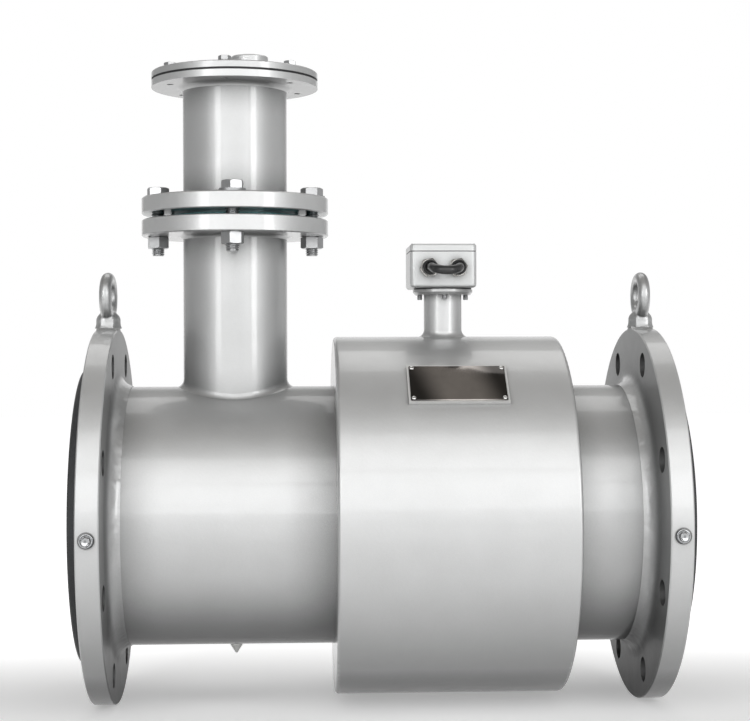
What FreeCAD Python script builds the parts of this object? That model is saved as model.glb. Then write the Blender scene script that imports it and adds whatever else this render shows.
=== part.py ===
import FreeCAD, Part
import math
import os

# Electromagnetic flow meter for a DN 200 pipe, with a level chimney before the coils.
# Lengths are in millimetres. X runs with the flow along the pipe axis, Z runs up the
# chimney, and X = 0 is the outer metal face of the inlet flange.

Vector = FreeCAD.Vector
ALONG = Vector(1, 0, 0)
ACROSS = Vector(0, 1, 0)
UP = Vector(0, 0, 1)
DOWN = Vector(0, 0, -1)
TOWARD = Vector(0, -1, 0)

# Measuring tube and its rubber liner
body_length = 511.0
bore_r = 100.0
liner_wall = 11.0
tube_wall = 6.5
flare_margin = 2.5
flare_thickness = 11.0
flare_edge = 1.5

# Pipe flanges at both ends
flange_r = 170.0
flange_thickness = 20.0
flange_edge = 1.0
hub_cove = 16.0
weld_toe = 0.5
pipe_bolt_rim = 22.5
pipe_bolt_hole_r = 11.0
pipe_bolt_count = 8

# Lifting eyes on the flange rims
eye_ring_r = 16.5
eye_section_r = 4.5
eye_centre_height = 28.1
eye_collar_flats = 19.8
eye_collar_height = 12.0
eye_seat_r = 11.2
eye_seat_height = 2.0
eye_seat_root = 3.0
eye_thread_r = 6.0
eye_thread_length = 16.0

# Earthing screws on the flange rims
earth_angle = 91.7
earth_spot_r = 7.5
earth_spot_depth = 0.4
earth_washer_r = 6.3
earth_washer_thickness = 1.6
earth_flats = 8.0
earth_head_height = 4.0
earth_thread_r = 3.0
earth_thread_length = 12.0
earth_head_turn = 12.0

# Coil housing round the middle of the tube
housing_x = 317.7
housing_width = 204.6
housing_r = 162.8
housing_wall = 5.5
housing_edge = 3.5
end_plate_thickness = 8.0

# Magnet system inside the housing
lead_room = 8.5
coil_half_length = 76.0
coil_half_angle = 56.0
coil_corner_r = 12.0
pole_half_length = 44.0
pole_half_angle = 28.0
winding_clearance = 1.0
yoke_thickness = 4.0
yoke_half_length = 60.0

# Electrodes on the horizontal diameter
electrode_head_r = 8.0
electrode_head_height = 3.0
electrode_shank_r = 4.0
electrode_proud = 0.4
electrode_tail = 1.4
sleeve_r = 7.0
sleeve_rim_r = 10.0
sleeve_rim_height = 3.0
sleeve_spot_depth = 0.5
sleeve_spot_margin = 1.0
electrode_nut_flats = 13.0
electrode_nut_height = 6.0

# Chimney: branch pipe, flanged joint and riser
chimney_x = 126.0
chimney_pipe_r = 47.5
chimney_pipe_wall = 5.0
branch_cove = 7.5
saddle_toe = 0.4
joint_height = 271.1
joint_flange_r = 85.2
joint_flange_thickness = 15.0
joint_flange_edge = 1.0
joint_face_r = 59.0
joint_face_height = 1.6
joint_weld = 5.0
riser_weld = 3.0
joint_gasket_thickness = 2.0
joint_gasket_margin = 0.6
riser_length = 123.3
joint_bolt_circle_r = 70.3
joint_bolt_count = 4
joint_bolt_r = 6.0
joint_hole_clearance = 0.75
joint_bolt_flats = 18.0
joint_head_height = 7.5
joint_washer_r = 12.0
joint_washer_thickness = 2.5
joint_nut_height = 10.8
joint_bolt_length = 55.0
joint_bolt_turn = 33.0
joint_bolt_turn_step = 25.0
joint_nut_turn = 21.0
joint_nut_turn_step = 40.0

# Chimney top: flange, gasket, cover and its screws
top_flange_r = 76.0
top_flange_thickness = 6.0
top_flange_cove = 6.5
cover_gasket_thickness = 2.0
cover_gasket_inset = 0.5
cover_thickness = 6.0
cover_edge = 0.8
cover_screw_circle_r = 62.5
cover_screw_count = 6
cover_screw_turn = -6.1
cover_screw_r = 3.0
cover_screw_length = 12.0
cover_screw_clearance = 0.4
cover_screw_flats = 10.0
cover_screw_head = 4.0
cover_screw_head_turn = 17.0
cover_washer_r = 6.0
cover_washer_thickness = 1.6

# Sensor socket welded on the cover, closed by a plug
socket_offset = 13.6
socket_r = 17.0
socket_height = 15.6
socket_thread_r = 10.0
socket_edge = 1.0
plug_length = 13.0
plug_recess = 1.5
plug_key_flats = 10.0
plug_key_depth = 7.0

# Neck between coil housing and junction box
neck_x = 316.8
neck_r = 17.4
neck_wall = 3.0
neck_cove = 7.0
neck_height = 43.2
neck_flange_r = 27.5
neck_flange_foot_r = 25.5
neck_flange_thickness = 5.0
neck_gasket_thickness = 1.0
neck_gasket_inset = 1.2
neck_screw_circle_r = 21.2
neck_screw_count = 4
neck_screw_r = 2.5
neck_screw_reach = 4.4
neck_screw_clearance = 0.25
neck_screw_head_r = 4.0
neck_screw_head_height = 3.6

# Junction box, lid and what they hold
box_offset = -1.8
box_width = 60.5
box_depth = 64.0
box_height = 32.5
box_wall = 3.0
box_floor = 3.5
box_corner_r = 5.0
box_foot_r = 3.0
box_wire_hole_r = 11.0
post_r = 4.0
post_inset = 4.6
lid_height = 6.4
lid_roof = 3.2
lid_edge_r = 2.5
lid_seal_thickness = 0.8
lid_seal_inset = 0.7
lid_seal_width = 1.6
lid_screw_r = 2.0
lid_screw_length = 14.0
lid_screw_head_r = 3.4
lid_screw_head_height = 2.4
lid_screw_slot = 1.0
lid_screw_turn = 40.0
terminal_width = 40.0
terminal_depth = 12.0
terminal_height = 13.0
terminal_step = 6.0
terminal_step_height = 6.5
terminal_back = 4.5
terminal_count = 4
terminal_screw_r = 2.4
terminal_screw_depth = 4.0
terminal_screw_length = 3.0

# Cable glands on the front of the box, and the jumper cable between them
gland_spacing = 26.0
gland_height = 18.0
gland_thread_r = 6.0
gland_flats = 15.6
gland_flange_height = 4.0
gland_turn = 10.0
gland_cap_r = 7.0
gland_cap_length = 10.0
gland_cap_edge = 1.8
gland_cap_mouth = 0.5
gland_skirt_length = 4.5
gland_skirt_step = 0.4
gland_nut_flats = 14.0
gland_nut_height = 3.0
gland_seal_length = 7.0
gland_seal_wall = 0.8
gland_tail = 1.5
cable_r = 4.0
cable_lead = 6.0
cable_reach = 23.0
cable_sag = 4.4
cable_shoulder_in = 2.0
cable_shoulder_back = 6.0
cable_shoulder_sag = 2.5
cable_bend_share = 0.45

# Leads from the electrodes and coils up the neck to the terminals
lead_r = 1.6
lead_bend_r = 6.0
lead_hole_clearance = 1.4
lead_rise = 3.3
lead_entry_r = 2.8
lead_entry_depth = 4.0
lead_entry_reach = 0.5
lead_start_gap = 0.1
lead_step = 18.0
signal_lead_offsets = (-7.0, -2.5)
coil_lead_offsets = (6.0, 3.0)
lead_ahead = -4.5

# Nameplate on its pad
plate_x = 320.0
plate_angle = 42.2
plate_width = 83.0
plate_height = 42.5
plate_thickness = 1.0
plate_corner_r = 1.0
pad_margin = 1.8
pad_drop = 0.3
pad_rise = 1.2
pad_root = 1.0
rivet_inset = 2.6
rivet_head_r = 2.0
rivet_head_height = 0.9
rivet_rim_height = 0.36
rivet_crown_r = 1.0
rivet_shank_r = 1.1
rivet_length = 2.8

# Drain plug under the tube
drain_plug_r = 5.2
drain_plug_point = 9.5
drain_plug_tip_r = 0.8
drain_plug_rim_r = 6.2
drain_plug_rim_height = 1.2
drain_plug_setback = 0.5

# Shared by the bolts, nuts and screws, and by the cuts that run clear of a piece
hex_bevel_share = 0.475
hex_bevel_angle = 30.0
stud_bevel_share = 0.16
overcut = 1.0
match = 0.01

# Sizes that follow from the driving ones
liner_r = bore_r + liner_wall
tube_r = liner_r + tube_wall
pipe_bolt_circle_r = flange_r - pipe_bolt_rim
flare_r = pipe_bolt_circle_r - pipe_bolt_hole_r - flare_margin
housing_bore_r = housing_r - housing_wall
housing_start = housing_x - housing_width / 2
housing_end = housing_x + housing_width / 2
yoke_r = housing_bore_r - lead_room
yoke_bore_r = yoke_r - yoke_thickness
coil_height = yoke_bore_r - tube_r
chimney_bore_r = chimney_pipe_r - chimney_pipe_wall
lower_flange_top = joint_height - joint_face_height
upper_face_z = joint_height + joint_gasket_thickness
upper_flange_bottom = upper_face_z + joint_face_height
upper_flange_top = upper_flange_bottom + joint_flange_thickness
top_flange_z = upper_face_z + riser_length
cover_z = top_flange_z + cover_gasket_thickness
cover_top = cover_z + cover_thickness
eye_seat_z = flange_r + eye_seat_height
neck_top = housing_r + neck_height
box_z = neck_top + neck_gasket_thickness
box_x = neck_x + box_offset
box_floor_z = box_z + box_floor
box_rim_z = box_z + box_height
box_front = -box_depth / 2
lid_z = box_rim_z + lid_seal_thickness
gland_z = box_z + gland_height
gland_face = box_front - gland_flange_height
gland_mouth = gland_face - gland_cap_length
pad_top = housing_r + pad_rise
lead_ring_r = (yoke_r + housing_bore_r) / 2
lead_turn_z = box_floor_z + lead_rise
electrode_seat = bore_r + electrode_head_height - electrode_proud
sleeve_seat = tube_r - sleeve_spot_depth
electrode_nut_seat = sleeve_seat + sleeve_rim_height
electrode_end = electrode_nut_seat + electrode_nut_height + electrode_tail
gland_skirt_r = gland_thread_r - gland_skirt_step
gland_seal_r = cable_r + gland_seal_wall
gland_seal_end = gland_skirt_length + gland_seal_length / 2


def arc(centre, radius, start, end):
    """Profile points of an arc about centre, between two angles in degrees."""
    def at(angle):
        turn = math.radians(angle)
        return (centre[0] + radius * math.cos(turn), centre[1] + radius * math.sin(turn))
    return [at(start), (at((start + end) / 2), at(end))]


def turned(profile):
    """Solid turned about Z from a closed profile of (height, radius) points."""
    def place(point):
        return Vector(point[1], 0, point[0])
    edges = []
    here = place(profile[0])
    for step in profile[1:] + [profile[0]]:
        if isinstance(step[0], tuple):
            through, end = place(step[0]), place(step[1])
            edges.append(Part.Arc(here, through, end).toShape())
        else:
            end = place(step)
            edges.append(Part.LineSegment(here, end).toShape())
        here = end
    return Part.Face(Part.Wire(edges)).revolve(Vector(0, 0, 0), UP, 360)


def placed(shape, at, axis=UP, turn=0.0):
    """The shape turned about its own Z, laid along axis and moved to a point."""
    spin = FreeCAD.Rotation(UP, turn)
    tilt = FreeCAD.Rotation(UP, axis)
    moved = shape.copy()
    moved.Placement = FreeCAD.Placement(at, tilt.multiply(spin))
    return moved


def rod(radius, start, axis, length):
    return Part.makeCylinder(radius, length, start, axis)


def ring(outer_r, inner_r, start, axis, length):
    return rod(outer_r, start, axis, length).cut(rod(inner_r, start, axis, length))


def group(shapes):
    """Several separate solids kept as one shape."""
    solids = []
    for shape in shapes:
        solids.extend(shape.Solids)
    return Part.makeCompound(solids)


def rounded(shape, radius, wanted):
    """The shape with a fillet on each edge that the test wants."""
    edges = [edge for edge in shape.Edges if wanted(edge)]
    return shape.makeFillet(radius, edges)


def cove(face, radius, size):
    """Profile of a concave weld from a flange face down to a pipe of this radius."""
    reach = math.degrees(math.asin(1 - weld_toe / size))
    centre = (face + size, radius + size)
    foot = face + size - size * math.cos(math.radians(reach))
    return arc(centre, size, 180, 180 + reach) + [(foot, radius)]


def hexagon(flats, height, bevelled=True):
    """Hexagonal prism on the XY plane, its far corners bevelled as a nut's are."""
    corner_r = flats / math.sqrt(3)
    corners = [placed_corner(corner_r, 60 * k) for k in range(7)]
    prism = Part.Face(Part.makePolygon(corners)).extrude(UP * height)
    if not bevelled:
        return prism
    run = corner_r - hex_bevel_share * flats
    drop = run * math.tan(math.radians(hex_bevel_angle))
    blank = turned([(0, 0), (0, corner_r), (height - drop, corner_r),
                    (height, corner_r - run), (height, 0)])
    return prism.common(blank)


def placed_corner(radius, angle):
    turn = math.radians(angle)
    return Vector(radius * math.cos(turn), radius * math.sin(turn), 0)


def around(count, radius, first=0.0):
    """Points (across, ahead) evenly spaced on a circle; the first lies ahead."""
    for k in range(count):
        turn = math.radians(first + 360.0 * k / count)
        yield radius * math.sin(turn), radius * math.cos(turn)


def rim_direction(angle):
    """Radial direction at this angle from the top towards the front."""
    turn = math.radians(angle)
    return Vector(0, -math.sin(turn), math.cos(turn))


def stud(radius, length):
    """Threaded shank that hangs down from Z = 0, with a bevelled end."""
    bevel = stud_bevel_share * radius
    return turned([(0, 0), (0, radius), (bevel - length, radius),
                   (-length, radius - bevel), (-length, 0)])


def saddle_pipe(x, outer_r, inner_r, carrier_r, top, size):
    """Pipe standing on a horizontal drum, with its weld swept round the foot."""
    drum_r = carrier_r - saddle_toe
    reach = outer_r + 2 * size
    drum = rod(drum_r, Vector(x - reach, 0, 0), ALONG, 2 * reach)
    pipe = rod(outer_r, Vector(x, 0, 0), UP, top)

    def on_seam(edge):
        middle = edge.valueAt((edge.FirstParameter + edge.LastParameter) / 2)
        from_pipe = abs(math.hypot(middle.x - x, middle.y) - outer_r)
        from_drum = abs(math.hypot(middle.y, middle.z) - drum_r)
        return from_pipe < match and from_drum < match

    welded = rounded(drum.fuse(pipe), size, on_seam)
    carrier = rod(carrier_r, Vector(x - 2 * reach, 0, 0), ALONG, 4 * reach)
    return welded.cut([carrier, rod(inner_r, Vector(x, 0, 0), UP, top)])


def sector(inner_r, outer_r, half_length, half_angle):
    """Block bent round the pipe axis, symmetric about the top."""
    start = Vector(housing_x - half_length, 0, 0)
    band = ring(outer_r, inner_r, start, ALONG, 2 * half_length)
    reach = 2 * outer_r
    spread = reach * math.tan(math.radians(half_angle))
    wedge = Part.Face(Part.makePolygon([
        start, start + Vector(0, spread, reach), start + Vector(0, -spread, reach), start]))
    return band.common(wedge.extrude(ALONG * 2 * half_length))


def turned_under(shape):
    """The same shape half a turn round the pipe axis."""
    copy = shape.copy()
    copy.rotate(Vector(0, 0, 0), ALONG, 180)
    return copy


def front_and_rear(build):
    """The pieces of the front electrode and of the rear one."""
    return build(TOWARD), build(ACROSS)


def at_electrode(side, distance):
    return Vector(housing_x, 0, 0) + side * distance


def measuring_tube():
    tube = ring(tube_r, liner_r, Vector(0, 0, 0), ALONG, body_length)
    holes = [rod(chimney_bore_r, Vector(chimney_x, 0, 0), UP, flange_r),
             rod(drain_plug_r, Vector(chimney_x, 0, 0), DOWN, flange_r)]
    for side in (TOWARD, ACROSS):
        holes.append(rod(sleeve_r, at_electrode(side, bore_r), side, tube_r))
        holes.append(rod(sleeve_rim_r + sleeve_spot_margin, at_electrode(side, sleeve_seat), side, tube_r))
    return tube.cut(holes)


def tube_liner():
    far = body_length + flare_thickness
    profile = [(-flare_thickness, bore_r + flare_edge),
               (-flare_thickness, flare_r - flare_edge),
               (flare_edge - flare_thickness, flare_r),
               (0, flare_r), (0, liner_r),
               (body_length, liner_r), (body_length, flare_r),
               (far - flare_edge, flare_r), (far, flare_r - flare_edge),
               (far, bore_r + flare_edge), (far - flare_edge, bore_r),
               (flare_edge - flare_thickness, bore_r)]
    liner = placed(turned(profile), Vector(0, 0, 0), ALONG)
    holes = [rod(chimney_bore_r, Vector(chimney_x, 0, 0), UP, flange_r),
             rod(drain_plug_r, Vector(chimney_x, 0, 0), DOWN, flange_r)]
    for side in (TOWARD, ACROSS):
        holes.append(rod(electrode_shank_r, at_electrode(side, bore_r / 2), side, flange_r))
        head_room = electrode_seat - bore_r / 2
        holes.append(rod(electrode_head_r, at_electrode(side, bore_r / 2), side, head_room))
    return liner.cut(holes)


def pipe_flange(face_x, inward):
    """Slip-on flange with its coved weld, eye seat, bolt holes and rim screw hole."""
    profile = [(0, tube_r), (0, flange_r - flange_edge), (flange_edge, flange_r),
               (flange_thickness - flange_edge, flange_r),
               (flange_thickness, flange_r - flange_edge)]
    profile += cove(flange_thickness, tube_r, hub_cove)
    blank = placed(turned(profile), Vector(face_x, 0, 0), inward)
    middle = face_x + inward.x * flange_thickness / 2
    near = min(face_x, face_x + inward.x * flange_thickness)

    seat_top = Vector(middle, 0, eye_seat_z)
    seat_height = eye_seat_height + eye_seat_root
    seat = Part.makeCone(eye_seat_r, eye_seat_r + seat_height, seat_height, seat_top, DOWN)
    slab = Part.makeBox(flange_thickness, 2 * flange_r, 2 * flange_r,
                        Vector(near, -flange_r, 0))
    blank = blank.fuse(seat.common(slab)).removeSplitter()

    holes = [rod(eye_thread_r, seat_top, DOWN, eye_thread_length + overcut)]
    half_step = 180.0 / pipe_bolt_count
    for across, ahead in around(pipe_bolt_count, pipe_bolt_circle_r, half_step):
        start = Vector(near - overcut, across, ahead)
        holes.append(rod(pipe_bolt_hole_r, start, ALONG, flange_thickness + hub_cove))
    outward = rim_direction(earth_angle)
    spot = Vector(middle, 0, 0) + outward * (flange_r - earth_spot_depth)
    holes.append(rod(earth_spot_r, spot, outward, flange_edge + earth_spot_depth))
    holes.append(rod(earth_thread_r, spot, -outward, earth_thread_length))
    return blank.cut(holes)


def flange_middles():
    return flange_thickness / 2, body_length - flange_thickness / 2


def lifting_eye(x):
    """Forged eye: ring, hexagonal collar and the shank screwed into the rim."""
    base = Vector(x, 0, eye_seat_z)
    loop = Part.makeTorus(eye_ring_r, eye_section_r, base + UP * eye_centre_height, ALONG)
    collar = placed(hexagon(eye_collar_flats, eye_collar_height), base)
    shank = placed(stud(eye_thread_r, eye_thread_length), base)
    return loop.fuse([collar, shank]).removeSplitter()


def earth_washer(x):
    outward = rim_direction(earth_angle)
    seat = Vector(x, 0, 0) + outward * (flange_r - earth_spot_depth)
    return ring(earth_washer_r, earth_thread_r, seat, outward, earth_washer_thickness)


def earth_screw(x):
    outward = rim_direction(earth_angle)
    rise = flange_r - earth_spot_depth + earth_washer_thickness
    seat = Vector(x, 0, 0) + outward * rise
    head = hexagon(earth_flats, earth_head_height)
    shank = stud(earth_thread_r, earth_thread_length)
    return placed(head.fuse(shank), seat, outward, earth_head_turn)


def housing_shell():
    """Rolled drum with rounded ends and a hole under the neck."""
    edge = housing_edge
    profile = [(0, housing_bore_r)]
    profile += arc((edge, housing_r - edge), edge, 180, 90)
    profile += arc((housing_width - edge, housing_r - edge), edge, 90, 0)
    profile += [(housing_width, housing_bore_r)]
    drum = placed(turned(profile), Vector(housing_start, 0, 0), ALONG)
    return drum.cut(rod(neck_r - neck_wall, Vector(neck_x, 0, 0), UP, 2 * housing_r))


def end_plate(start):
    return ring(housing_bore_r, tube_r, Vector(start, 0, 0), ALONG, end_plate_thickness)


def coil():
    """Saddle winding: a bent racetrack round the pole shoe."""
    outer = sector(tube_r, yoke_bore_r, coil_half_length, coil_half_angle)

    def at_corner(edge):
        first, last = edge.Vertexes[0].Point, edge.Vertexes[-1].Point
        rise = math.hypot(last.y, last.z) - math.hypot(first.y, first.z)
        return abs(abs(rise) - coil_height) < match

    outer = rounded(outer, coil_corner_r, at_corner)
    gap_angle = math.degrees(winding_clearance / tube_r)
    window = sector(tube_r - overcut, yoke_bore_r + overcut, pole_half_length + winding_clearance,
                    pole_half_angle + gap_angle)
    return outer.cut(window)


def pole_shoe():
    return sector(tube_r, yoke_bore_r, pole_half_length, pole_half_angle)


def flux_yoke():
    """Steel band clamped round coils and pole shoes, with a hole for each signal lead."""
    start = Vector(housing_x - yoke_half_length, 0, 0)
    band = ring(yoke_r, yoke_bore_r, start, ALONG, 2 * yoke_half_length)
    return band.cut([rod(lead_r + lead_hole_clearance, at_electrode(side, tube_r), side,
                         housing_r - tube_r) for side in (TOWARD, ACROSS)])


def electrode(side):
    """Stud with a flat head that sits in the liner, wetted on its inner face."""
    head = rod(electrode_head_r, at_electrode(side, electrode_seat), -side,
               electrode_head_height)
    stem = rod(electrode_shank_r, at_electrode(side, electrode_seat), side,
               electrode_end - electrode_seat)
    return head.fuse(stem).removeSplitter()


def electrode_sleeve(side):
    """Flanged insulating bush between the stem and the tube wall."""
    rim = rod(sleeve_rim_r, at_electrode(side, sleeve_seat), side, sleeve_rim_height)
    stem = rod(electrode_shank_r, at_electrode(side, bore_r), side, tube_r)
    curved_end = rod(liner_r, Vector(housing_start, 0, 0), ALONG, housing_width)
    barrel = rod(sleeve_r, at_electrode(side, bore_r), side, sleeve_seat - bore_r)
    return barrel.fuse(rim).cut([stem, curved_end]).removeSplitter()


def electrode_nut(side):
    seat = at_electrode(side, electrode_nut_seat)
    nut = placed(hexagon(electrode_nut_flats, electrode_nut_height), seat, side)
    return nut.cut(rod(electrode_shank_r, seat, side, electrode_nut_height))


def drain_plug():
    """Screwed plug with a pointed head, flush with the liner inside."""
    start = bore_r + drain_plug_setback
    profile = [(start, 0), (start, drain_plug_r), (tube_r, drain_plug_r),
               (tube_r, drain_plug_rim_r), (tube_r + drain_plug_rim_height, drain_plug_rim_r),
               (tube_r + drain_plug_point, drain_plug_tip_r), (tube_r + drain_plug_point, 0)]
    return placed(turned(profile), Vector(chimney_x, 0, 0), DOWN)


def joint_flange(face_z, away, weld):
    """Chimney flange with a raised face at face_z and its weld on the far side."""
    back = joint_face_height + joint_flange_thickness
    edge = joint_flange_edge
    profile = [(0, chimney_pipe_r), (0, joint_face_r), (joint_face_height, joint_face_r),
               (joint_face_height, joint_flange_r - edge),
               (joint_face_height + edge, joint_flange_r),
               (back - edge, joint_flange_r), (back, joint_flange_r - edge)]
    profile += cove(back, chimney_pipe_r, weld)
    blank = placed(turned(profile), Vector(chimney_x, 0, face_z), away)
    return blank.cut(joint_holes(joint_bolt_r + joint_hole_clearance))


def joint_points():
    return around(joint_bolt_count, joint_bolt_circle_r)


def joint_holes(radius):
    start = joint_height - joint_flange_r
    return [rod(radius, Vector(chimney_x + across, ahead, start), UP, 2 * joint_flange_r)
            for across, ahead in joint_points()]


def joint_bolts():
    seat = upper_flange_top + joint_washer_thickness
    head = hexagon(joint_bolt_flats, joint_head_height)
    bolt = head.fuse(stud(joint_bolt_r, joint_bolt_length)).removeSplitter()
    return group(placed(bolt, Vector(chimney_x + across, ahead, seat), UP,
                        joint_bolt_turn + joint_bolt_turn_step * number)
                 for number, (across, ahead) in enumerate(joint_points()))


def joint_washers():
    washer = ring(joint_washer_r, joint_bolt_r, Vector(0, 0, 0), UP, joint_washer_thickness)
    return group(placed(washer, Vector(chimney_x + across, ahead, upper_flange_top))
                 for across, ahead in joint_points())


def joint_nuts():
    seat = lower_flange_top - joint_flange_thickness
    nut = hexagon(joint_bolt_flats, joint_nut_height)
    nut = nut.cut(rod(joint_bolt_r, Vector(0, 0, 0), UP, joint_nut_height))
    return group(placed(nut, Vector(chimney_x + across, ahead, seat), DOWN,
                        joint_nut_turn + joint_nut_turn_step * number)
                 for number, (across, ahead) in enumerate(joint_points()))


def joint_gasket():
    return ring(joint_face_r - joint_gasket_margin, chimney_bore_r,
                Vector(chimney_x, 0, joint_height), UP, joint_gasket_thickness)


def riser_pipe():
    return ring(chimney_pipe_r, chimney_bore_r, Vector(chimney_x, 0, upper_face_z), UP,
                riser_length)


def cover_screw_points():
    for across, ahead in around(cover_screw_count, cover_screw_circle_r, -cover_screw_turn):
        yield chimney_x - across, -ahead


def cover_screw_holes(radius):
    start = top_flange_z - 2 * top_flange_thickness
    return [rod(radius, Vector(x, y, start), UP, top_flange_r)
            for x, y in cover_screw_points()]


def riser_top_flange():
    profile = [(0, chimney_pipe_r), (0, top_flange_r), (top_flange_thickness, top_flange_r)]
    profile += cove(top_flange_thickness, chimney_pipe_r, top_flange_cove)
    blank = placed(turned(profile), Vector(chimney_x, 0, top_flange_z), DOWN)
    return blank.cut(cover_screw_holes(cover_screw_r))


def cover_gasket():
    blank = ring(top_flange_r - cover_gasket_inset, chimney_bore_r,
                 Vector(chimney_x, 0, top_flange_z), UP, cover_gasket_thickness)
    return blank.cut(cover_screw_holes(cover_screw_r + cover_screw_clearance))


def top_cover():
    edge = cover_edge
    profile = [(0, 0), (0, top_flange_r), (cover_thickness - edge, top_flange_r),
               (cover_thickness, top_flange_r - edge), (cover_thickness, 0)]
    blank = placed(turned(profile), Vector(chimney_x, 0, cover_z))
    holes = cover_screw_holes(cover_screw_r + cover_screw_clearance)
    holes.append(rod(socket_thread_r, Vector(chimney_x + socket_offset, 0, cover_z), UP,
                     cover_thickness))
    return blank.cut(holes)


def cover_screws():
    seat = cover_top + cover_washer_thickness
    screw = hexagon(cover_screw_flats, cover_screw_head).fuse(
        stud(cover_screw_r, cover_screw_length)).removeSplitter()
    return group(placed(screw, Vector(x, y, seat), UP, cover_screw_head_turn * number)
                 for number, (x, y) in enumerate(cover_screw_points()))


def cover_washers():
    washer = ring(cover_washer_r, cover_screw_r, Vector(0, 0, 0), UP, cover_washer_thickness)
    return group(placed(washer, Vector(x, y, cover_top)) for x, y in cover_screw_points())


def sensor_socket():
    edge = socket_edge
    profile = [(0, socket_thread_r), (0, socket_r), (socket_height - edge, socket_r),
               (socket_height, socket_r - edge), (socket_height, socket_thread_r)]
    return placed(turned(profile), Vector(chimney_x + socket_offset, 0, cover_top))


def socket_plug():
    """Screwed plug sunk in the socket, with a hexagonal key hole in its top."""
    top = Vector(chimney_x + socket_offset, 0, cover_top + socket_height - plug_recess)
    plug = rod(socket_thread_r, top, DOWN, plug_length)
    key = placed(hexagon(plug_key_flats, plug_key_depth, False), top, DOWN)
    return plug.cut(key)


def neck_points():
    for across, ahead in around(neck_screw_count, neck_screw_circle_r):
        yield neck_x + across, ahead


def neck_screw_holes(radius):
    return [rod(radius, Vector(x, y, housing_r), UP, neck_height + box_height)
            for x, y in neck_points()]


def neck_flange():
    """Plate round the neck's top, with a tapered foot."""
    taper = neck_flange_thickness / 2
    profile = [(0, neck_r), (0, neck_flange_foot_r), (taper, neck_flange_r),
               (neck_flange_thickness, neck_flange_r), (neck_flange_thickness, neck_r)]
    foot = Vector(neck_x, 0, neck_top - neck_flange_thickness)
    return placed(turned(profile), foot).cut(neck_screw_holes(neck_screw_r))


def neck_gasket():
    blank = ring(neck_flange_r - neck_gasket_inset, neck_r - neck_wall,
                 Vector(neck_x, 0, neck_top), UP, neck_gasket_thickness)
    return blank.cut(neck_screw_holes(neck_screw_r + neck_screw_clearance))


def neck_screws():
    """Screws put in from inside the box, their ends showing under the plate."""
    length = box_floor_z - neck_top + neck_flange_thickness + neck_screw_reach
    head = rod(neck_screw_head_r, Vector(0, 0, 0), UP, neck_screw_head_height)
    screw = head.fuse(stud(neck_screw_r, length)).removeSplitter()
    return group(placed(screw, Vector(x, y, box_floor_z)) for x, y in neck_points())


def rounded_block(width, depth, height, corner_r, base):
    """Upright block with rounded corners, standing centred on base."""
    block = Part.makeBox(width, depth, height, base - Vector(width / 2, depth / 2, 0))
    return rounded(block, corner_r, lambda edge: edge.BoundBox.ZLength > height / 2)


def lid_screw_points():
    for across in (-1, 1):
        for ahead in (-1, 1):
            yield (box_x + across * (box_width / 2 - post_inset),
                   ahead * (box_depth / 2 - post_inset))


def gland_axes():
    return box_x - gland_spacing / 2, box_x + gland_spacing / 2


def junction_box():
    """Cast box: rounded outside, open above, with a post in each corner."""
    base = Vector(box_x, 0, box_z)
    outside = rounded_block(box_width, box_depth, box_height, box_corner_r, base)
    outside = rounded(outside, box_foot_r, lambda edge: edge.BoundBox.ZMax < box_z + match)
    inside = rounded_block(box_width - 2 * box_wall, box_depth - 2 * box_wall, box_height,
                           box_corner_r - box_wall / 2, base + UP * box_floor)
    posts = [rod(post_r, Vector(x, y, box_floor_z), UP, box_height)
             for x, y in lid_screw_points()]
    holes = [rod(lid_screw_r, Vector(x, y, box_rim_z), DOWN, lid_screw_length)
             for x, y in lid_screw_points()]
    holes += neck_screw_holes(neck_screw_r + neck_screw_clearance)
    holes.append(rod(box_wire_hole_r, Vector(neck_x, 0, box_z), UP, box_floor))
    for x in gland_axes():
        holes.append(rod(gland_thread_r, Vector(x, box_front, gland_z), ACROSS, box_wall))
    return outside.cut(inside.cut(posts)).cut(holes)


def junction_box_lid():
    """Shallow cast lid, hollow under its roof, with sunk screw heads."""
    base = Vector(box_x, 0, lid_z)
    outside = rounded_block(box_width, box_depth, lid_height, box_corner_r, base)
    top = lid_z + lid_height
    outside = rounded(outside, lid_edge_r, lambda edge: edge.BoundBox.ZMin > top - match)
    inside = rounded_block(box_width - 2 * box_wall, box_depth - 2 * box_wall,
                           lid_height - lid_roof, box_corner_r - box_wall / 2, base)
    posts = [rod(post_r, Vector(x, y, lid_z), UP, lid_height)
             for x, y in lid_screw_points()]
    holes = []
    for x, y in lid_screw_points():
        holes.append(rod(lid_screw_r, Vector(x, y, lid_z), UP, lid_height))
        holes.append(rod(lid_screw_head_r, Vector(x, y, top), DOWN, lid_screw_head_height))
    return outside.cut(inside.cut(posts)).cut(holes)


def lid_seal():
    base = Vector(box_x, 0, box_rim_z)
    inset = 2 * lid_seal_inset
    band = inset + 2 * lid_seal_width
    outside = rounded_block(box_width - inset, box_depth - inset, lid_seal_thickness,
                            box_corner_r - lid_seal_inset, base)
    inside = rounded_block(box_width - band, box_depth - band, lid_seal_thickness,
                           box_corner_r - lid_seal_inset - lid_seal_width, base)
    return outside.cut(inside)


def lid_screws():
    """Sunk screws with a slot across the head."""
    seat = lid_z + lid_height - lid_screw_head_height
    head = rod(lid_screw_head_r, Vector(0, 0, 0), UP, lid_screw_head_height)
    shank = stud(lid_screw_r, lid_screw_length)
    low = lid_screw_head_height - lid_screw_slot
    slot = Part.makeBox(2 * lid_screw_head_r, lid_screw_slot, lid_screw_slot,
                        Vector(-lid_screw_head_r, -lid_screw_slot / 2, low))
    screw = head.fuse(shank).cut(slot).removeSplitter()
    return group(placed(screw, Vector(x, y, seat), UP, lid_screw_turn)
                 for x, y in lid_screw_points())


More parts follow.
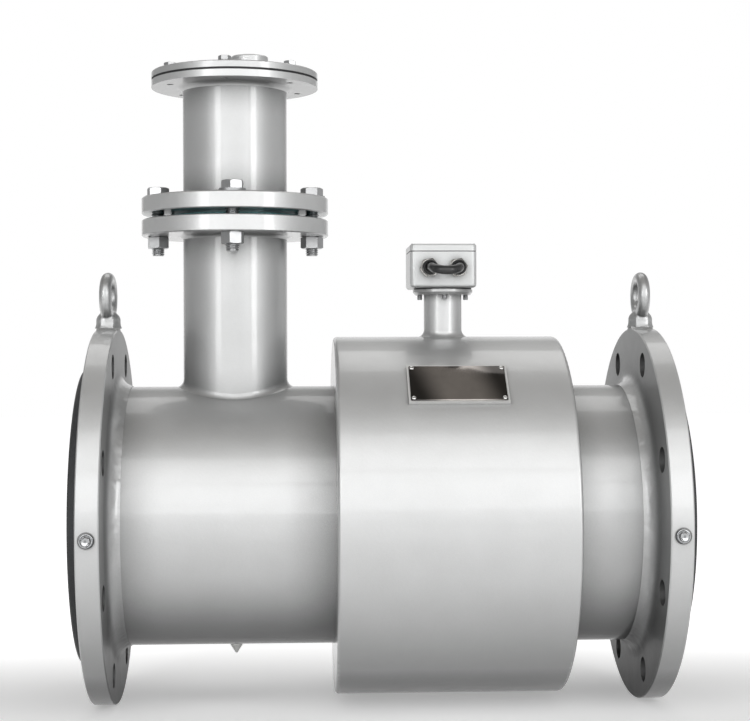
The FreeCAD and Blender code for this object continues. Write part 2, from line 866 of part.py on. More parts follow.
def terminal_screw_points():
    pitch = terminal_width / terminal_count
    first = box_x - terminal_width / 2 + pitch / 2
    depth = terminal_back + terminal_depth - (terminal_depth - terminal_step) / 2
    return [Vector(first + pitch * k, depth, box_floor_z + terminal_height)
            for k in range(terminal_count)]


def terminal_block():
    """Moulded strip with a stepped front, a wire entry and a sunk clamp screw for each wire."""
    low = terminal_step_height
    outline = [(0, 0), (terminal_depth, 0), (terminal_depth, terminal_height),
               (terminal_step, terminal_height), (terminal_step, low), (0, low), (0, 0)]
    start = Vector(box_x - terminal_width / 2, terminal_back, box_floor_z)
    face = Part.Face(Part.makePolygon([start + Vector(0, a, b) for a, b in outline]))
    block = face.extrude(ALONG * terminal_width)
    holes = []
    for point in terminal_screw_points():
        entry = Vector(point.x, terminal_back, lead_turn_z)
        holes.append(rod(terminal_screw_r, point, DOWN, terminal_screw_depth))
        holes.append(rod(lead_entry_r, entry, ACROSS, lead_entry_depth))
    return block.cut(holes)


def terminal_screws():
    return group(rod(terminal_screw_r, point - UP * terminal_screw_depth, UP,
                     terminal_screw_length) for point in terminal_screw_points())


def gland_body(x):
    """Nipple through the box wall, with a hexagonal collar and a skirt for the cap."""
    start = Vector(x, box_front, gland_z)
    tail = box_wall + gland_nut_height + gland_tail
    thread = rod(gland_thread_r, start, ACROSS, tail)
    collar = placed(hexagon(gland_flats, gland_flange_height), start, TOWARD, gland_turn)
    skirt = rod(gland_skirt_r, Vector(x, gland_face, gland_z), TOWARD,
                gland_skirt_length)
    mouth = gland_face - gland_skirt_length
    bore = rod(cable_r, Vector(x, mouth, gland_z), ACROSS, tail - mouth + box_front)
    pocket = rod(gland_seal_r, Vector(x, mouth, gland_z), ACROSS, gland_seal_length / 2)
    return thread.fuse([collar, skirt]).cut([bore, pocket]).removeSplitter()


def gland_seal(x):
    """Rubber bush squeezed round the cable inside the cap."""
    start = gland_face - gland_skirt_length + gland_seal_length / 2
    return ring(gland_seal_r, cable_r, Vector(x, start, gland_z), TOWARD,
                gland_seal_length)


def gland_cap(x):
    """Knurled cap screwed on the skirt, with a bevelled mouth for the cable."""
    edge = gland_cap_edge
    length = gland_cap_length
    mouth_r = cable_r + gland_cap_mouth
    profile = [(0, gland_skirt_r), (0, gland_cap_r), (length - edge, gland_cap_r),
               (length, gland_cap_r - edge), (length, mouth_r),
               (gland_seal_end, mouth_r), (gland_seal_end, gland_seal_r),
               (gland_skirt_length, gland_seal_r), (gland_skirt_length, gland_skirt_r)]
    return placed(turned(profile), Vector(x, gland_face, gland_z), TOWARD)


def gland_locknut(x):
    seat = Vector(x, box_front + box_wall, gland_z)
    nut = placed(hexagon(gland_nut_flats, gland_nut_height), seat, ACROSS, gland_turn)
    return nut.cut(rod(gland_thread_r, seat, ACROSS, gland_nut_height))


def cable_route():
    """Corners of the jumper's path, from inside one gland to inside the other."""
    left, right = gland_axes()
    inner = box_front + box_wall + gland_nut_height + gland_tail
    leave = gland_mouth - cable_lead
    outer = gland_mouth - cable_reach
    shoulder = outer + cable_shoulder_back
    shoulder_z = gland_z - cable_shoulder_sag
    return [Vector(left, inner, gland_z), Vector(left, leave, gland_z),
            Vector(left + cable_shoulder_in, shoulder, shoulder_z),
            Vector((left + right) / 2, outer, gland_z - cable_sag),
            Vector(right - cable_shoulder_in, shoulder, shoulder_z),
            Vector(right, leave, gland_z), Vector(right, inner, gland_z)]


def bend_radius(before, corner, after):
    """Bend at a corner that leaves straight ends on both of its runs."""
    run_in, run_out = corner - before, after - corner
    half_turn = run_in.getAngle(run_out) / 2
    return cable_bend_share * min(run_in.Length, run_out.Length) / math.tan(half_turn)


def path_wire(corners, sharp_r=None):
    """Straight runs joined by tangent arcs; sharp turns take sharp_r where it is given."""
    edges = []
    here = corners[0]
    for before, corner, after in zip(corners, corners[1:], corners[2:]):
        radius = bend_radius(before, corner, after)
        run_in = (corner - before).normalize()
        run_out = (after - corner).normalize()
        half_turn = run_in.getAngle(run_out) / 2
        if sharp_r and half_turn > math.radians(lead_step):
            radius = min(radius, sharp_r)
        setback = radius * math.tan(half_turn)
        first, last = corner - run_in * setback, corner + run_out * setback
        inward = (run_out - run_in).normalize()
        middle = corner + inward * radius * (1 / math.cos(half_turn) - 1)
        edges.append(Part.LineSegment(here, first).toShape())
        edges.append(Part.Arc(first, middle, last).toShape())
        here = last
    edges.append(Part.LineSegment(here, corners[-1]).toShape())
    return Part.Wire(edges)


def tube_along(route, radius, sharp_r=None):
    heading = (route[1] - route[0]).normalize()
    start = Part.Wire(Part.makeCircle(radius, route[0], heading))
    return path_wire(route, sharp_r).makePipeShell([start], True, False)


def cable_loop():
    return tube_along(cable_route(), cable_r)


def ring_corners(x, first, last):
    """Corners of a run round the pipe axis between yoke and shell, in equal steps."""
    count = round(abs(last - first) / lead_step)
    corner_r = lead_ring_r / math.cos(math.radians(lead_step / 2))
    return [Vector(x, 0, 0) + rim_direction(first + (last - first) * k / count) * corner_r
            for k in range(count + 1)]


def up_the_neck(offset, ahead, terminal):
    """Last corners of a lead: into the neck, up into the box and to its terminal."""
    x = neck_x + offset
    end = terminal_screw_points()[terminal]
    return [Vector(x, ahead, lead_ring_r), Vector(x, ahead, lead_turn_z),
            Vector(end.x, terminal_back + lead_entry_reach, lead_turn_z)]


def signal_lead(side, offset, terminal):
    """Lead from an electrode's end, out through the yoke and round to the neck."""
    start = Vector(housing_x, 0, 0) + rim_direction(90 * side) * electrode_end
    route = [start] + ring_corners(housing_x, 90 * side, lead_step * side)
    return tube_along(route + up_the_neck(offset, lead_ahead, terminal), lead_r, lead_bend_r)


def coil_leads():
    """Leads from the bare ends of both coils, the lower one's round the back."""
    x = housing_x + (yoke_half_length + coil_half_length) / 2
    lift = yoke_bore_r + lead_start_gap
    upper = [Vector(x, lead_ahead, lift), Vector(x, lead_ahead, lead_ring_r)]
    upper += up_the_neck(coil_lead_offsets[0], lead_ahead, 3)
    lower = [Vector(x, 0, -lift), Vector(x, 0, -lead_ring_r)]
    lower += ring_corners(x, lead_step - 180, -lead_step) + [Vector(x, 0, lead_ring_r)]
    lower += up_the_neck(coil_lead_offsets[1], 0, 2)
    return group(tube_along(route, lead_r, lead_bend_r) for route in (upper, lower))


def on_housing(shape):
    """Lay a shape modelled on top of the housing down to the nameplate's angle."""
    laid = shape.copy()
    laid.rotate(Vector(0, 0, 0), ALONG, plate_angle)
    return laid


def nameplate_pad():
    """Flat-topped pad, its underside curved to the housing."""
    width = plate_width + 2 * pad_margin
    height = plate_height + 2 * pad_margin + pad_drop
    sagitta = housing_r - math.sqrt(housing_r ** 2 - (height / 2 + pad_drop) ** 2)
    depth = sagitta + pad_root
    start = Vector(plate_x - width / 2, -height / 2 - pad_drop / 2, housing_r - depth)
    block = Part.makeBox(width, height, depth + pad_rise, start)
    block = block.cut(rod(housing_r, Vector(housing_start, 0, 0), ALONG, housing_width))
    return on_housing(block).cut(rivet_holes())


def nameplate():
    plate = rounded_block(plate_width, plate_height, plate_thickness, plate_corner_r,
                          Vector(plate_x, 0, pad_top))
    return on_housing(plate).cut(rivet_holes())


def rivet_points():
    for across in (-1, 1):
        for ahead in (-1, 1):
            yield Vector(plate_x + across * (plate_width / 2 - rivet_inset),
                         ahead * (plate_height / 2 - rivet_inset),
                         pad_top + plate_thickness)


def rivet_holes():
    return [on_housing(rod(rivet_shank_r, point, DOWN, rivet_length))
            for point in rivet_points()]


def nameplate_rivets():
    """Low round-headed rivets through the plate into the pad."""
    crown = turned([(0, 0), (0, rivet_head_r), (rivet_rim_height, rivet_head_r),
                    (rivet_head_height, rivet_crown_r), (rivet_head_height, 0)])
    rivet = crown.fuse(rod(rivet_shank_r, Vector(0, 0, 0), DOWN, rivet_length))
    return group(on_housing(placed(rivet.removeSplitter(), point))
                 for point in rivet_points())


front_electrode, rear_electrode = front_and_rear(electrode)
front_sleeve, rear_sleeve = front_and_rear(electrode_sleeve)

nodes = {
    "measuring_tube": measuring_tube(),
    "tube_liner": tube_liner(),
    "inlet_flange": pipe_flange(0, ALONG),
    "outlet_flange": pipe_flange(body_length, -ALONG),
    "lifting_eyes": group(lifting_eye(x) for x in flange_middles()),
    "earth_washers": group(earth_washer(x) for x in flange_middles()),
    "earth_screws": group(earth_screw(x) for x in flange_middles()),
    "housing_shell": housing_shell(),
    "housing_inlet_plate": end_plate(housing_start),
    "housing_outlet_plate": end_plate(housing_end - end_plate_thickness),
    "upper_coil": coil(),
    "lower_coil": turned_under(coil()),
    "upper_pole_shoe": pole_shoe(),
    "lower_pole_shoe": turned_under(pole_shoe()),
    "flux_yoke": flux_yoke(),
    "front_electrode": front_electrode,
    "rear_electrode": rear_electrode,
    "front_electrode_sleeve": front_sleeve,
    "rear_electrode_sleeve": rear_sleeve,
    "electrode_nuts": group(front_and_rear(electrode_nut)),
    "drain_plug": drain_plug(),
    "branch_pipe": saddle_pipe(chimney_x, chimney_pipe_r, chimney_bore_r, tube_r,
                               joint_height, branch_cove),
    "branch_flange": joint_flange(joint_height, DOWN, joint_weld),
    "joint_gasket": joint_gasket(),
    "riser_foot_flange": joint_flange(upper_face_z, UP, riser_weld),
    "joint_bolts": joint_bolts(),
    "joint_washers": joint_washers(),
    "joint_nuts": joint_nuts(),
    "riser_pipe": riser_pipe(),
    "riser_top_flange": riser_top_flange(),
    "cover_gasket": cover_gasket(),
    "top_cover": top_cover(),
    "cover_screws": cover_screws(),
    "cover_washers": cover_washers(),
    "sensor_socket": sensor_socket(),
    "socket_plug": socket_plug(),
    "neck_pipe": saddle_pipe(neck_x, neck_r, neck_r - neck_wall, housing_r, neck_top,
                             neck_cove),
    "neck_flange": neck_flange(),
    "neck_gasket": neck_gasket(),
    "neck_screws": neck_screws(),
    "junction_box": junction_box(),
    "junction_box_lid": junction_box_lid(),
    "lid_seal": lid_seal(),
    "lid_screws": lid_screws(),
    "terminal_block": terminal_block(),
    "terminal_screws": terminal_screws(),
    "gland_bodies": group(gland_body(x) for x in gland_axes()),
    "gland_locknuts": group(gland_locknut(x) for x in gland_axes()),
    "gland_seals": group(gland_seal(x) for x in gland_axes()),
    "gland_caps": group(gland_cap(x) for x in gland_axes()),
    "cable_loop": cable_loop(),
    "signal_leads": group([signal_lead(1, signal_lead_offsets[0], 0),
                           signal_lead(-1, signal_lead_offsets[1], 1)]),
    "coil_leads": coil_leads(),
    "nameplate_pad": nameplate_pad(),
    "nameplate": nameplate(),
    "nameplate_rivets": nameplate_rivets(),
}

os.makedirs("parts", exist_ok=True)
for name, shape in nodes.items():
    solids = shape.Solids
    whole = solids[0] if len(solids) == 1 else Part.makeCompound(solids)
    whole.exportStep(f"parts/{name}.step")

corners = cable_route()
for before, corner, after in zip(corners, corners[1:], corners[2:]):
    print(f"cable bend radius {bend_radius(before, corner, after):.1f}")
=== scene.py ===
import math

import bmesh
import bpy
from mathutils import Matrix, Vector


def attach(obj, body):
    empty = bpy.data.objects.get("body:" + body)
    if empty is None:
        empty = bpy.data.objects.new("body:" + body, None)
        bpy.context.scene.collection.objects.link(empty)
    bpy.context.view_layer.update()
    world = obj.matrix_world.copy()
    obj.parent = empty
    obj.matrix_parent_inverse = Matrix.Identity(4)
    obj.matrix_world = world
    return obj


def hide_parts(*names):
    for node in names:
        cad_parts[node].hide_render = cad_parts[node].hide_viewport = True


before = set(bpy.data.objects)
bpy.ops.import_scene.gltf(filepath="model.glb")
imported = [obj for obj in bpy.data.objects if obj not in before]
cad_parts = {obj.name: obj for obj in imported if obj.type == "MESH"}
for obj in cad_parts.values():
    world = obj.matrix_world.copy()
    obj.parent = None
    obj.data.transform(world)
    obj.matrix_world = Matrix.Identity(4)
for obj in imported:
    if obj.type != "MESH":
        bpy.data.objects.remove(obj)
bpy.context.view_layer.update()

# Camera
# It stands level a step and a half in front of the meter, a little above the pipe axis,
# and is turned a few degrees towards the outlet flange.
camera_place = Vector((0.1791, -1.5363, 0.1466))
camera_yaw = 0.0488
camera_pitch = -0.0037
camera_roll = -0.003
camera_lens = 80.04
camera_sensor = 36.0

camera_data = bpy.data.cameras.new("camera")
camera_data.lens = camera_lens
camera_data.sensor_fit = "HORIZONTAL"
camera_data.sensor_width = camera_sensor
camera_data.clip_start = 0.05
camera = bpy.data.objects.new("camera", camera_data)
bpy.context.collection.objects.link(camera)
ahead = Vector((math.sin(camera_yaw) * math.cos(camera_pitch),
                math.cos(camera_yaw) * math.cos(camera_pitch),
                math.sin(camera_pitch)))
level = Vector((math.cos(camera_yaw), -math.sin(camera_yaw), 0.0))
upright = level.cross(ahead)
across = level * math.cos(camera_roll) + upright * math.sin(camera_roll)
over = upright * math.cos(camera_roll) - level * math.sin(camera_roll)
camera.matrix_world = Matrix.Translation(camera_place) @ Matrix(
    (across, over, -ahead)).transposed().to_4x4()
bpy.context.scene.camera = camera
bpy.context.scene.view_settings.view_transform = "Standard"

# Studio floor and background
# A plain pale floor that runs out to a white horizon. The meter stands on the lowest points
# of its two flanges, and its shadow stays on the floor.
meter_mid_x = 0.25
floor_height = -0.170
floor_half_width = 7.0
floor_color = (0.86, 0.86, 0.86, 1.0)
# The floor glows to camera, mirrored and transmitted rays: weakly near the meter, a little
# more in front and fully far behind, so the strip round the meter holds painted shade beside
# its real shadow.
near_glow = 0.32
front_glow = 0.42
front_edges = (-0.36, -0.16)
far_glow = 1.0
glow_start = 0.0
glow_end = 0.42
room_light = 0.28
backdrop_color = (1.0, 1.0, 1.0, 1.0)
room_color = (0.41, 0.41, 0.41, 1.0)
ceiling_color = (0.26, 0.25, 0.236, 1.0)
side_edges = (0.50, 0.92)
left_wall = 0.36
right_wall = 0.60
backdrop_edges = (0.86, 0.95)
ceiling_edges = (0.30, 0.85)


def make_node(tree, kind, values=None, **settings):
    """A shader node with its settings, and its input sockets set by name or linked."""
    made = tree.nodes.new(kind)
    for key, value in settings.items():
        setattr(made, key, value)
    for key, value in (values or {}).items():
        if isinstance(value, bpy.types.NodeSocket):
            tree.links.new(value, made.inputs[key])
        else:
            made.inputs[key].default_value = value
    return made


def calc(tree, operation, *terms):
    """One sum on shader values."""
    return make_node(tree, "ShaderNodeMath", dict(enumerate(terms)),
                     operation=operation).outputs[0]


def ramp(tree, value, start, end, low=0.0, high=1.0, smooth=True):
    """Goes from low to high while the value goes from start to end."""
    return make_node(tree, "ShaderNodeMapRange", {
        "Value": value, "From Min": start, "From Max": end, "To Min": low, "To Max": high},
        interpolation_type="SMOOTHSTEP" if smooth else "LINEAR").outputs["Result"]


def blend(tree, share, first, second):
    """One colour faded into another."""
    return make_node(tree, "ShaderNodeMix", {"Factor": share, 6: first, 7: second},
                     data_type="RGBA").outputs[2]


def along(tree, vector):
    """The X, Y and Z of a vector."""
    return make_node(tree, "ShaderNodeSeparateXYZ", {0: vector}).outputs


def seen_directly(tree):
    """One where a ray comes from the camera, a glossy surface or through glass."""
    path = make_node(tree, "ShaderNodeLightPath").outputs
    mirrored = calc(tree, "MAXIMUM", path["Is Camera Ray"], path["Is Glossy Ray"])
    return calc(tree, "MAXIMUM", mirrored, path["Is Transmission Ray"])


floor_mesh = bpy.data.meshes.new("floor")
floor_form = bmesh.new()
bmesh.ops.create_grid(floor_form, x_segments=1, y_segments=1, size=floor_half_width,
                      matrix=Matrix.Translation((meter_mid_x, 0.0, floor_height)))
floor_form.to_mesh(floor_mesh)
floor_form.free()
floor = bpy.data.objects.new("floor", floor_mesh)
bpy.context.collection.objects.link(floor)
floor_paint = bpy.data.materials.new("floor_paint")
floor_paint.use_nodes = True
floor_tree = floor_paint.node_tree
floor_shader = floor_tree.nodes["Principled BSDF"]
floor_shader.inputs["Base Color"].default_value = floor_color
floor_shader.inputs["Roughness"].default_value = 0.9
floor_shader.inputs["Emission Color"].default_value = backdrop_color
depth = along(floor_tree, make_node(floor_tree, "ShaderNodeTexCoord").outputs["Object"])["Y"]
share = calc(floor_tree, "MAXIMUM",
             ramp(floor_tree, depth, glow_start, glow_end, near_glow, far_glow),
             ramp(floor_tree, depth, *front_edges, front_glow, near_glow))
floor_tree.links.new(calc(floor_tree, "MULTIPLY", seen_directly(floor_tree), share),
                     floor_shader.inputs["Emission Strength"])
floor_mesh.materials.append(floor_paint)

world = bpy.data.worlds.new("studio")
bpy.context.scene.world = world
world.use_nodes = True
sky = world.node_tree
sky.nodes.clear()
way = along(sky, make_node(sky, "ShaderNodeTexCoord").outputs["Generated"])
beside = ramp(sky, calc(sky, "ABSOLUTE", way["X"]), *side_edges)
side_wall = ramp(sky, way["X"], -1.0, 1.0, left_wall, right_wall, smooth=False)
lit_room = blend(sky, beside, room_color, side_wall)
walls = blend(sky, ramp(sky, way["Y"], *backdrop_edges), lit_room, backdrop_color)
backdrop = blend(sky, ramp(sky, way["Z"], *ceiling_edges), walls, ceiling_color)
strength = ramp(sky, seen_directly(sky), 0.0, 1.0, room_light, 1.0, smooth=False)
background = make_node(sky, "ShaderNodeBackground", {"Color": backdrop, "Strength": strength})
make_node(sky, "ShaderNodeOutputWorld", {"Surface": background.outputs[0]})

# Soft lights
# Three wide soft boxes stand in front, one over another, and a tall box on each side draws
# a bright line down each upright pipe. A box behind keeps the rear readable.
meter_middle = Vector((meter_mid_x, 0.0, 0.06))


def soft_box(name, azimuth, elevation, distance, width, height, power):
    """A soft box that faces the meter; azimuth 0 is the front, positive to the right."""
    turn, lift = math.radians(azimuth), math.radians(elevation)
    way = Vector((math.sin(turn) * math.cos(lift), -math.cos(turn) * math.cos(lift),
                  math.sin(lift)))
    data = bpy.data.lights.new(name, "AREA")
    data.shape = "RECTANGLE"
    data.size = width
    data.size_y = height
    data.energy = power
    lamp = bpy.data.objects.new(name, data)
    bpy.context.collection.objects.link(lamp)
    lamp.location = meter_middle + way * distance
    lamp.rotation_euler = (-way).to_track_quat("-Z", "Y").to_euler()


soft_box("soft_box_front", 0, 17, 2.3, 2.4, 0.9, 11)
soft_box("soft_box_low", 0, 4, 2.3, 2.4, 0.5, 2.4)
soft_box("soft_box_high", 0, 42, 2.3, 2.4, 0.9, 12)
soft_box("soft_box_left", -38, 15, 2.3, 0.5, 1.1, 8.5)
soft_box("soft_box_right", 41, 15, 2.3, 0.5, 1.1, 11)
soft_box("soft_box_rear", 180, 62, 2.4, 2.0, 1.1, 9)

# Silver paint: measuring tube, flanges, housing, chimney and neck
# The welded steel body is sprayed all over with silver-grey two-coat paint. It lies with a
# faint orange peel, fine metal flakes and slow shade differences from the spraying.
silver_color = (0.59, 0.595, 0.595, 1.0)
silver_metal = 0.76
silver_roughness = 0.47
silver_coat = 0.75
silver_coat_roughness = 0.10
# Painted shade on undersides, deeper on the measuring tube: the share of colour left straight
# below, and the facing where the darkening starts.
body_underside_shade = (0.40, -0.20)
tube_underside_shade = (0.12, -0.32)
hole_circle_r = 0.1475
hole_reach = 0.0114
hole_shade = 0.42
hole_edge = 0.0003
peel_scale = 330.0
peel_depth = 0.00006
slow_peel = (0.16, 2.2)
long_peel = (0.045, 7.0)
paint_cloud = (0.022, 26.0, 0.05, 2600.0)
paint_spread = (0.10, 60.0)


def effect(name, inputs, outputs):
    """An empty shader group with named sockets: its tree, its input and output nodes."""
    tree = bpy.data.node_groups.new(name, "ShaderNodeTree")
    for socket, kind in inputs.items():
        tree.interface.new_socket(name=socket, in_out="INPUT", socket_type=kind)
    for socket, kind in outputs.items():
        tree.interface.new_socket(name=socket, in_out="OUTPUT", socket_type=kind)
    return tree, tree.nodes.new("NodeGroupInput"), tree.nodes.new("NodeGroupOutput")


def where(tree):
    """Points on the piece in metres, the same for every piece of the meter."""
    return make_node(tree, "ShaderNodeTexCoord").outputs["Object"]


def noise(tree, scale, detail):
    """Smooth noise over the piece, with its grain and its detail."""
    return make_node(tree, "ShaderNodeTexNoise", {
        "Vector": where(tree), "Scale": scale, "Detail": detail}).outputs["Fac"]


def scaled(tree, color, share):
    """A colour made darker or lighter by a share."""
    return make_node(tree, "ShaderNodeHueSaturation", {
        "Value": share, "Color": color}).outputs["Color"]


orange_peel, given, made = effect(
    "orange_peel", {"Scale": "NodeSocketFloat"}, {"Height": "NodeSocketFloat"})
fine = noise(orange_peel, given.outputs["Scale"], 1.0)
slow = noise(orange_peel, calc(orange_peel, "MULTIPLY", given.outputs["Scale"],
                               slow_peel[0]), 0.0)
wave = noise(orange_peel, calc(orange_peel, "MULTIPLY", given.outputs["Scale"],
                               long_peel[0]), 1.0)
peel_sum = calc(orange_peel, "MULTIPLY_ADD", slow, slow_peel[1], fine)
orange_peel.links.new(calc(orange_peel, "MULTIPLY_ADD", wave, long_peel[1], peel_sum),
                      made.inputs["Height"])

shading, given, made = effect(
    "uneven_shade",
    {"Color": "NodeSocketColor", "Amount": "NodeSocketFloat", "Scale": "NodeSocketFloat"},
    {"Color": "NodeSocketColor"})
shade = ramp(shading, noise(shading, given.outputs["Scale"], 3.0), 0.3, 0.7,
             calc(shading, "SUBTRACT", 1.0, given.outputs["Amount"]),
             calc(shading, "ADD", 1.0, given.outputs["Amount"]), smooth=False)
shading.links.new(scaled(shading, given.outputs["Color"], shade), made.inputs["Color"])

gloss, given, made = effect(
    "uneven_gloss",
    {"Roughness": "NodeSocketFloat", "Amount": "NodeSocketFloat", "Scale": "NodeSocketFloat"},
    {"Roughness": "NodeSocketFloat"})
centred = calc(gloss, "SUBTRACT", noise(gloss, given.outputs["Scale"], 4.0), 0.5)
gloss.links.new(calc(gloss, "MULTIPLY_ADD", centred, given.outputs["Amount"],
                     given.outputs["Roughness"]), made.inputs["Roughness"])


def group_node(tree, group, values):
    """Places a shader group, with its inputs set or linked."""
    return make_node(tree, "ShaderNodeGroup", values, node_tree=group)


def new_finish(name, metal=0.0, coat=0.0, coat_roughness=0.1, sheen=0.0):
    """A material with only its plain sockets set: its tree and its shader."""
    material = bpy.data.materials.new(name)
    material.use_nodes = True
    shader = material.node_tree.nodes["Principled BSDF"]
    shader.inputs["Metallic"].default_value = metal
    shader.inputs["Coat Weight"].default_value = coat
    shader.inputs["Coat Roughness"].default_value = coat_roughness
    shader.inputs["Sheen Weight"].default_value = sheen
    return material, material.node_tree, shader


def set_color(tree, shader, color, amount, scale, grain=0.0, grain_scale=2000.0):
    """Base colour with slow shade differences and, where wanted, a fine grain over them."""
    cloudy = group_node(tree, shading, {"Color": color, "Amount": amount, "Scale": scale})
    found = cloudy.outputs["Color"]
    if grain:
        fine_grain = group_node(tree, shading, {"Color": found, "Amount": grain,
                                                "Scale": grain_scale})
        found = fine_grain.outputs["Color"]
    tree.links.new(found, shader.inputs["Base Color"])


def set_gloss(tree, shader, roughness, amount, scale):
    """Roughness that wanders a little over the surface."""
    uneven = group_node(tree, gloss, {"Roughness": roughness, "Amount": amount,
                                      "Scale": scale})
    tree.links.new(uneven.outputs["Roughness"], shader.inputs["Roughness"])


def set_relief(tree, shader, height, depth):
    """A fine relief of this depth in metres."""
    bump = make_node(tree, "ShaderNodeBump", {"Height": height, "Distance": depth})
    tree.links.new(bump.outputs["Normal"], shader.inputs["Normal"])


def reach_of(tree, one_way, other_way):
    """How far off a point is, from its distances in two directions."""
    flat = make_node(tree, "ShaderNodeCombineXYZ", {"X": one_way, "Y": other_way})
    return make_node(tree, "ShaderNodeVectorMath", {0: flat.outputs[0]},
                     operation="LENGTH").outputs["Value"]


def turned(tree):
    """The X, Y and Z of the way in which the surface faces."""
    return along(tree, make_node(tree, "ShaderNodeTexCoord").outputs["Normal"])


# Painted shade: the walls of the eight bolt holes in each flange are darkened.
painted_hole_shade, given, made = effect(
    "painted_hole_shade", {"Color": "NodeSocketColor"}, {"Color": "NodeSocketColor"})
spot = along(painted_hole_shade, where(painted_hole_shade))
bearing = calc(painted_hole_shade, "ARCTAN2", spot["Y"], spot["Z"])
folded = calc(painted_hole_shade, "FLOORED_MODULO", bearing, math.pi / 4)
off_hole = calc(painted_hole_shade, "SUBTRACT", folded, math.pi / 8)
radius = reach_of(painted_hole_shade, spot["Y"], spot["Z"])
distance = reach_of(painted_hole_shade, calc(painted_hole_shade, "MULTIPLY", radius, off_hole),
                    calc(painted_hole_shade, "SUBTRACT", radius, hole_circle_r))
outside = ramp(painted_hole_shade, distance, hole_reach - hole_edge, hole_reach, hole_shade,
               smooth=False)
painted_hole_shade.links.new(scaled(painted_hole_shade, given.outputs["Color"], outside),
                       made.inputs["Color"])

# Painted shade: the colour darkens where the surface faces the floor, down to Shade straight
# below.
painted_underside_shade, given, made = effect(
    "painted_underside_shade", {"Color": "NodeSocketColor", "Shade": "NodeSocketFloat",
                   "Starts": "NodeSocketFloat"}, {"Color": "NodeSocketColor"})
cover = ramp(painted_underside_shade, turned(painted_underside_shade)["Z"], -1.0, given.outputs["Starts"],
             given.outputs["Shade"])
painted_underside_shade.links.new(scaled(painted_underside_shade, given.outputs["Color"], cover), made.inputs["Color"])

# Painted shade on the flange faces turned towards the housing, deeper towards the bottom,
# with a weaker coat there as well.
inside_shade = 0.47
inside_coat = 0.08
low_inside_shade = 0.25
low_inside_heights = (-0.14, -0.04)
inward_edges = (0.75, 0.97)
turned_edges = (0.1, 0.4)

painted_inside_shade, given, made = effect(
    "painted_inside_shade", {"Color": "NodeSocketColor", "Coat": "NodeSocketFloat"},
    {"Color": "NodeSocketColor", "Coat": "NodeSocketFloat"})
spot = along(painted_inside_shade, where(painted_inside_shade))
to_middle = calc(painted_inside_shade, "SIGN", calc(painted_inside_shade, "SUBTRACT", meter_mid_x, spot["X"]))
to_tube = calc(painted_inside_shade, "MULTIPLY", turned(painted_inside_shade)["X"], to_middle)
outward = ramp(painted_inside_shade, to_tube, *inward_edges, 1.0, 0.0)
kept_color = calc(painted_inside_shade, "MULTIPLY_ADD", outward, 1.0 - inside_shade, inside_shade)
kept_coat = calc(painted_inside_shade, "MULTIPLY_ADD", outward, 1.0 - inside_coat, inside_coat)
turned_in = ramp(painted_inside_shade, to_tube, *turned_edges, smooth=False)
low_down = ramp(painted_inside_shade, spot["Z"], *low_inside_heights, low_inside_shade - 1.0, 0.0)
kept_low = calc(painted_inside_shade, "MULTIPLY_ADD", turned_in, low_down, 1.0)
painted_inside_shade.links.new(scaled(painted_inside_shade, given.outputs["Color"],
                             calc(painted_inside_shade, "MULTIPLY", kept_color, kept_low)),
                      made.inputs["Color"])
coat_share = calc(painted_inside_shade, "MULTIPLY", kept_coat, kept_low)
painted_inside_shade.links.new(calc(painted_inside_shade, "MULTIPLY", coat_share, given.outputs["Coat"]),
                      made.inputs["Coat"])

# Painted shade and painted reflection: dark rings round each earthing screw, on the rim's
# front and on the screw and washer.
earth_ring_x = (0.0096, 0.5014)
earth_ring_z = -0.0047
earth_rim_y = (-0.165, -0.164)
ring_edges = (0.6, 1.1)
rim_ring_shade = (0.0060, 0.0072, 0.45)

screw_ring_shade, given, made = effect(
    "screw_ring_shade", {"Color": "NodeSocketColor", "Dark From": "NodeSocketFloat",
                    "Dark To": "NodeSocketFloat", "Shade": "NodeSocketFloat"},
    {"Color": "NodeSocketColor"})
spot = along(screw_ring_shade, where(screw_ring_shade))
beside_screw = calc(screw_ring_shade, "MINIMUM", *[
    calc(screw_ring_shade, "ABSOLUTE", calc(screw_ring_shade, "SUBTRACT", spot["X"], x))
    for x in earth_ring_x])
reach = reach_of(screw_ring_shade, beside_screw,
                 calc(screw_ring_shade, "SUBTRACT", spot["Z"], earth_ring_z))
middle_reach = calc(screw_ring_shade, "MULTIPLY", 0.5, calc(
    screw_ring_shade, "ADD", given.outputs["Dark From"], given.outputs["Dark To"]))
half_width = calc(screw_ring_shade, "SUBTRACT", given.outputs["Dark To"], middle_reach)
off_ring = calc(screw_ring_shade, "DIVIDE", calc(
    screw_ring_shade, "ABSOLUTE", calc(screw_ring_shade, "SUBTRACT", reach, middle_reach)), half_width)
ringed = calc(screw_ring_shade, "MAXIMUM",
              ramp(screw_ring_shade, off_ring, *ring_edges, given.outputs["Shade"]),
              ramp(screw_ring_shade, spot["Y"], *earth_rim_y, smooth=False))
screw_ring_shade.links.new(scaled(screw_ring_shade, given.outputs["Color"], ringed),
                      made.inputs["Color"])

weld_reach = (0.120, 0.138)
weld_scale = 70.0
weld_depth = 0.0018

weld_ripple, given, made = effect(
    "weld_ripple", {"Scale": "NodeSocketFloat"}, {"Height": "NodeSocketFloat"})
spot = along(weld_ripple, where(weld_ripple))
on_weld = ramp(weld_ripple, reach_of(weld_ripple, spot["Y"], spot["Z"]), *weld_reach,
               1.0, 0.0)
lumps = noise(weld_ripple, given.outputs["Scale"], 2.0)
weld_ripple.links.new(calc(weld_ripple, "MULTIPLY", lumps, on_weld), made.inputs["Height"])

# Painted shade, tinted teal: the faces in the gap between the joint flanges are darkened.
joint_gap_heights = (0.2694, 0.2748)
joint_gap_shade_color = (0.085, 0.150, 0.158, 1.0)

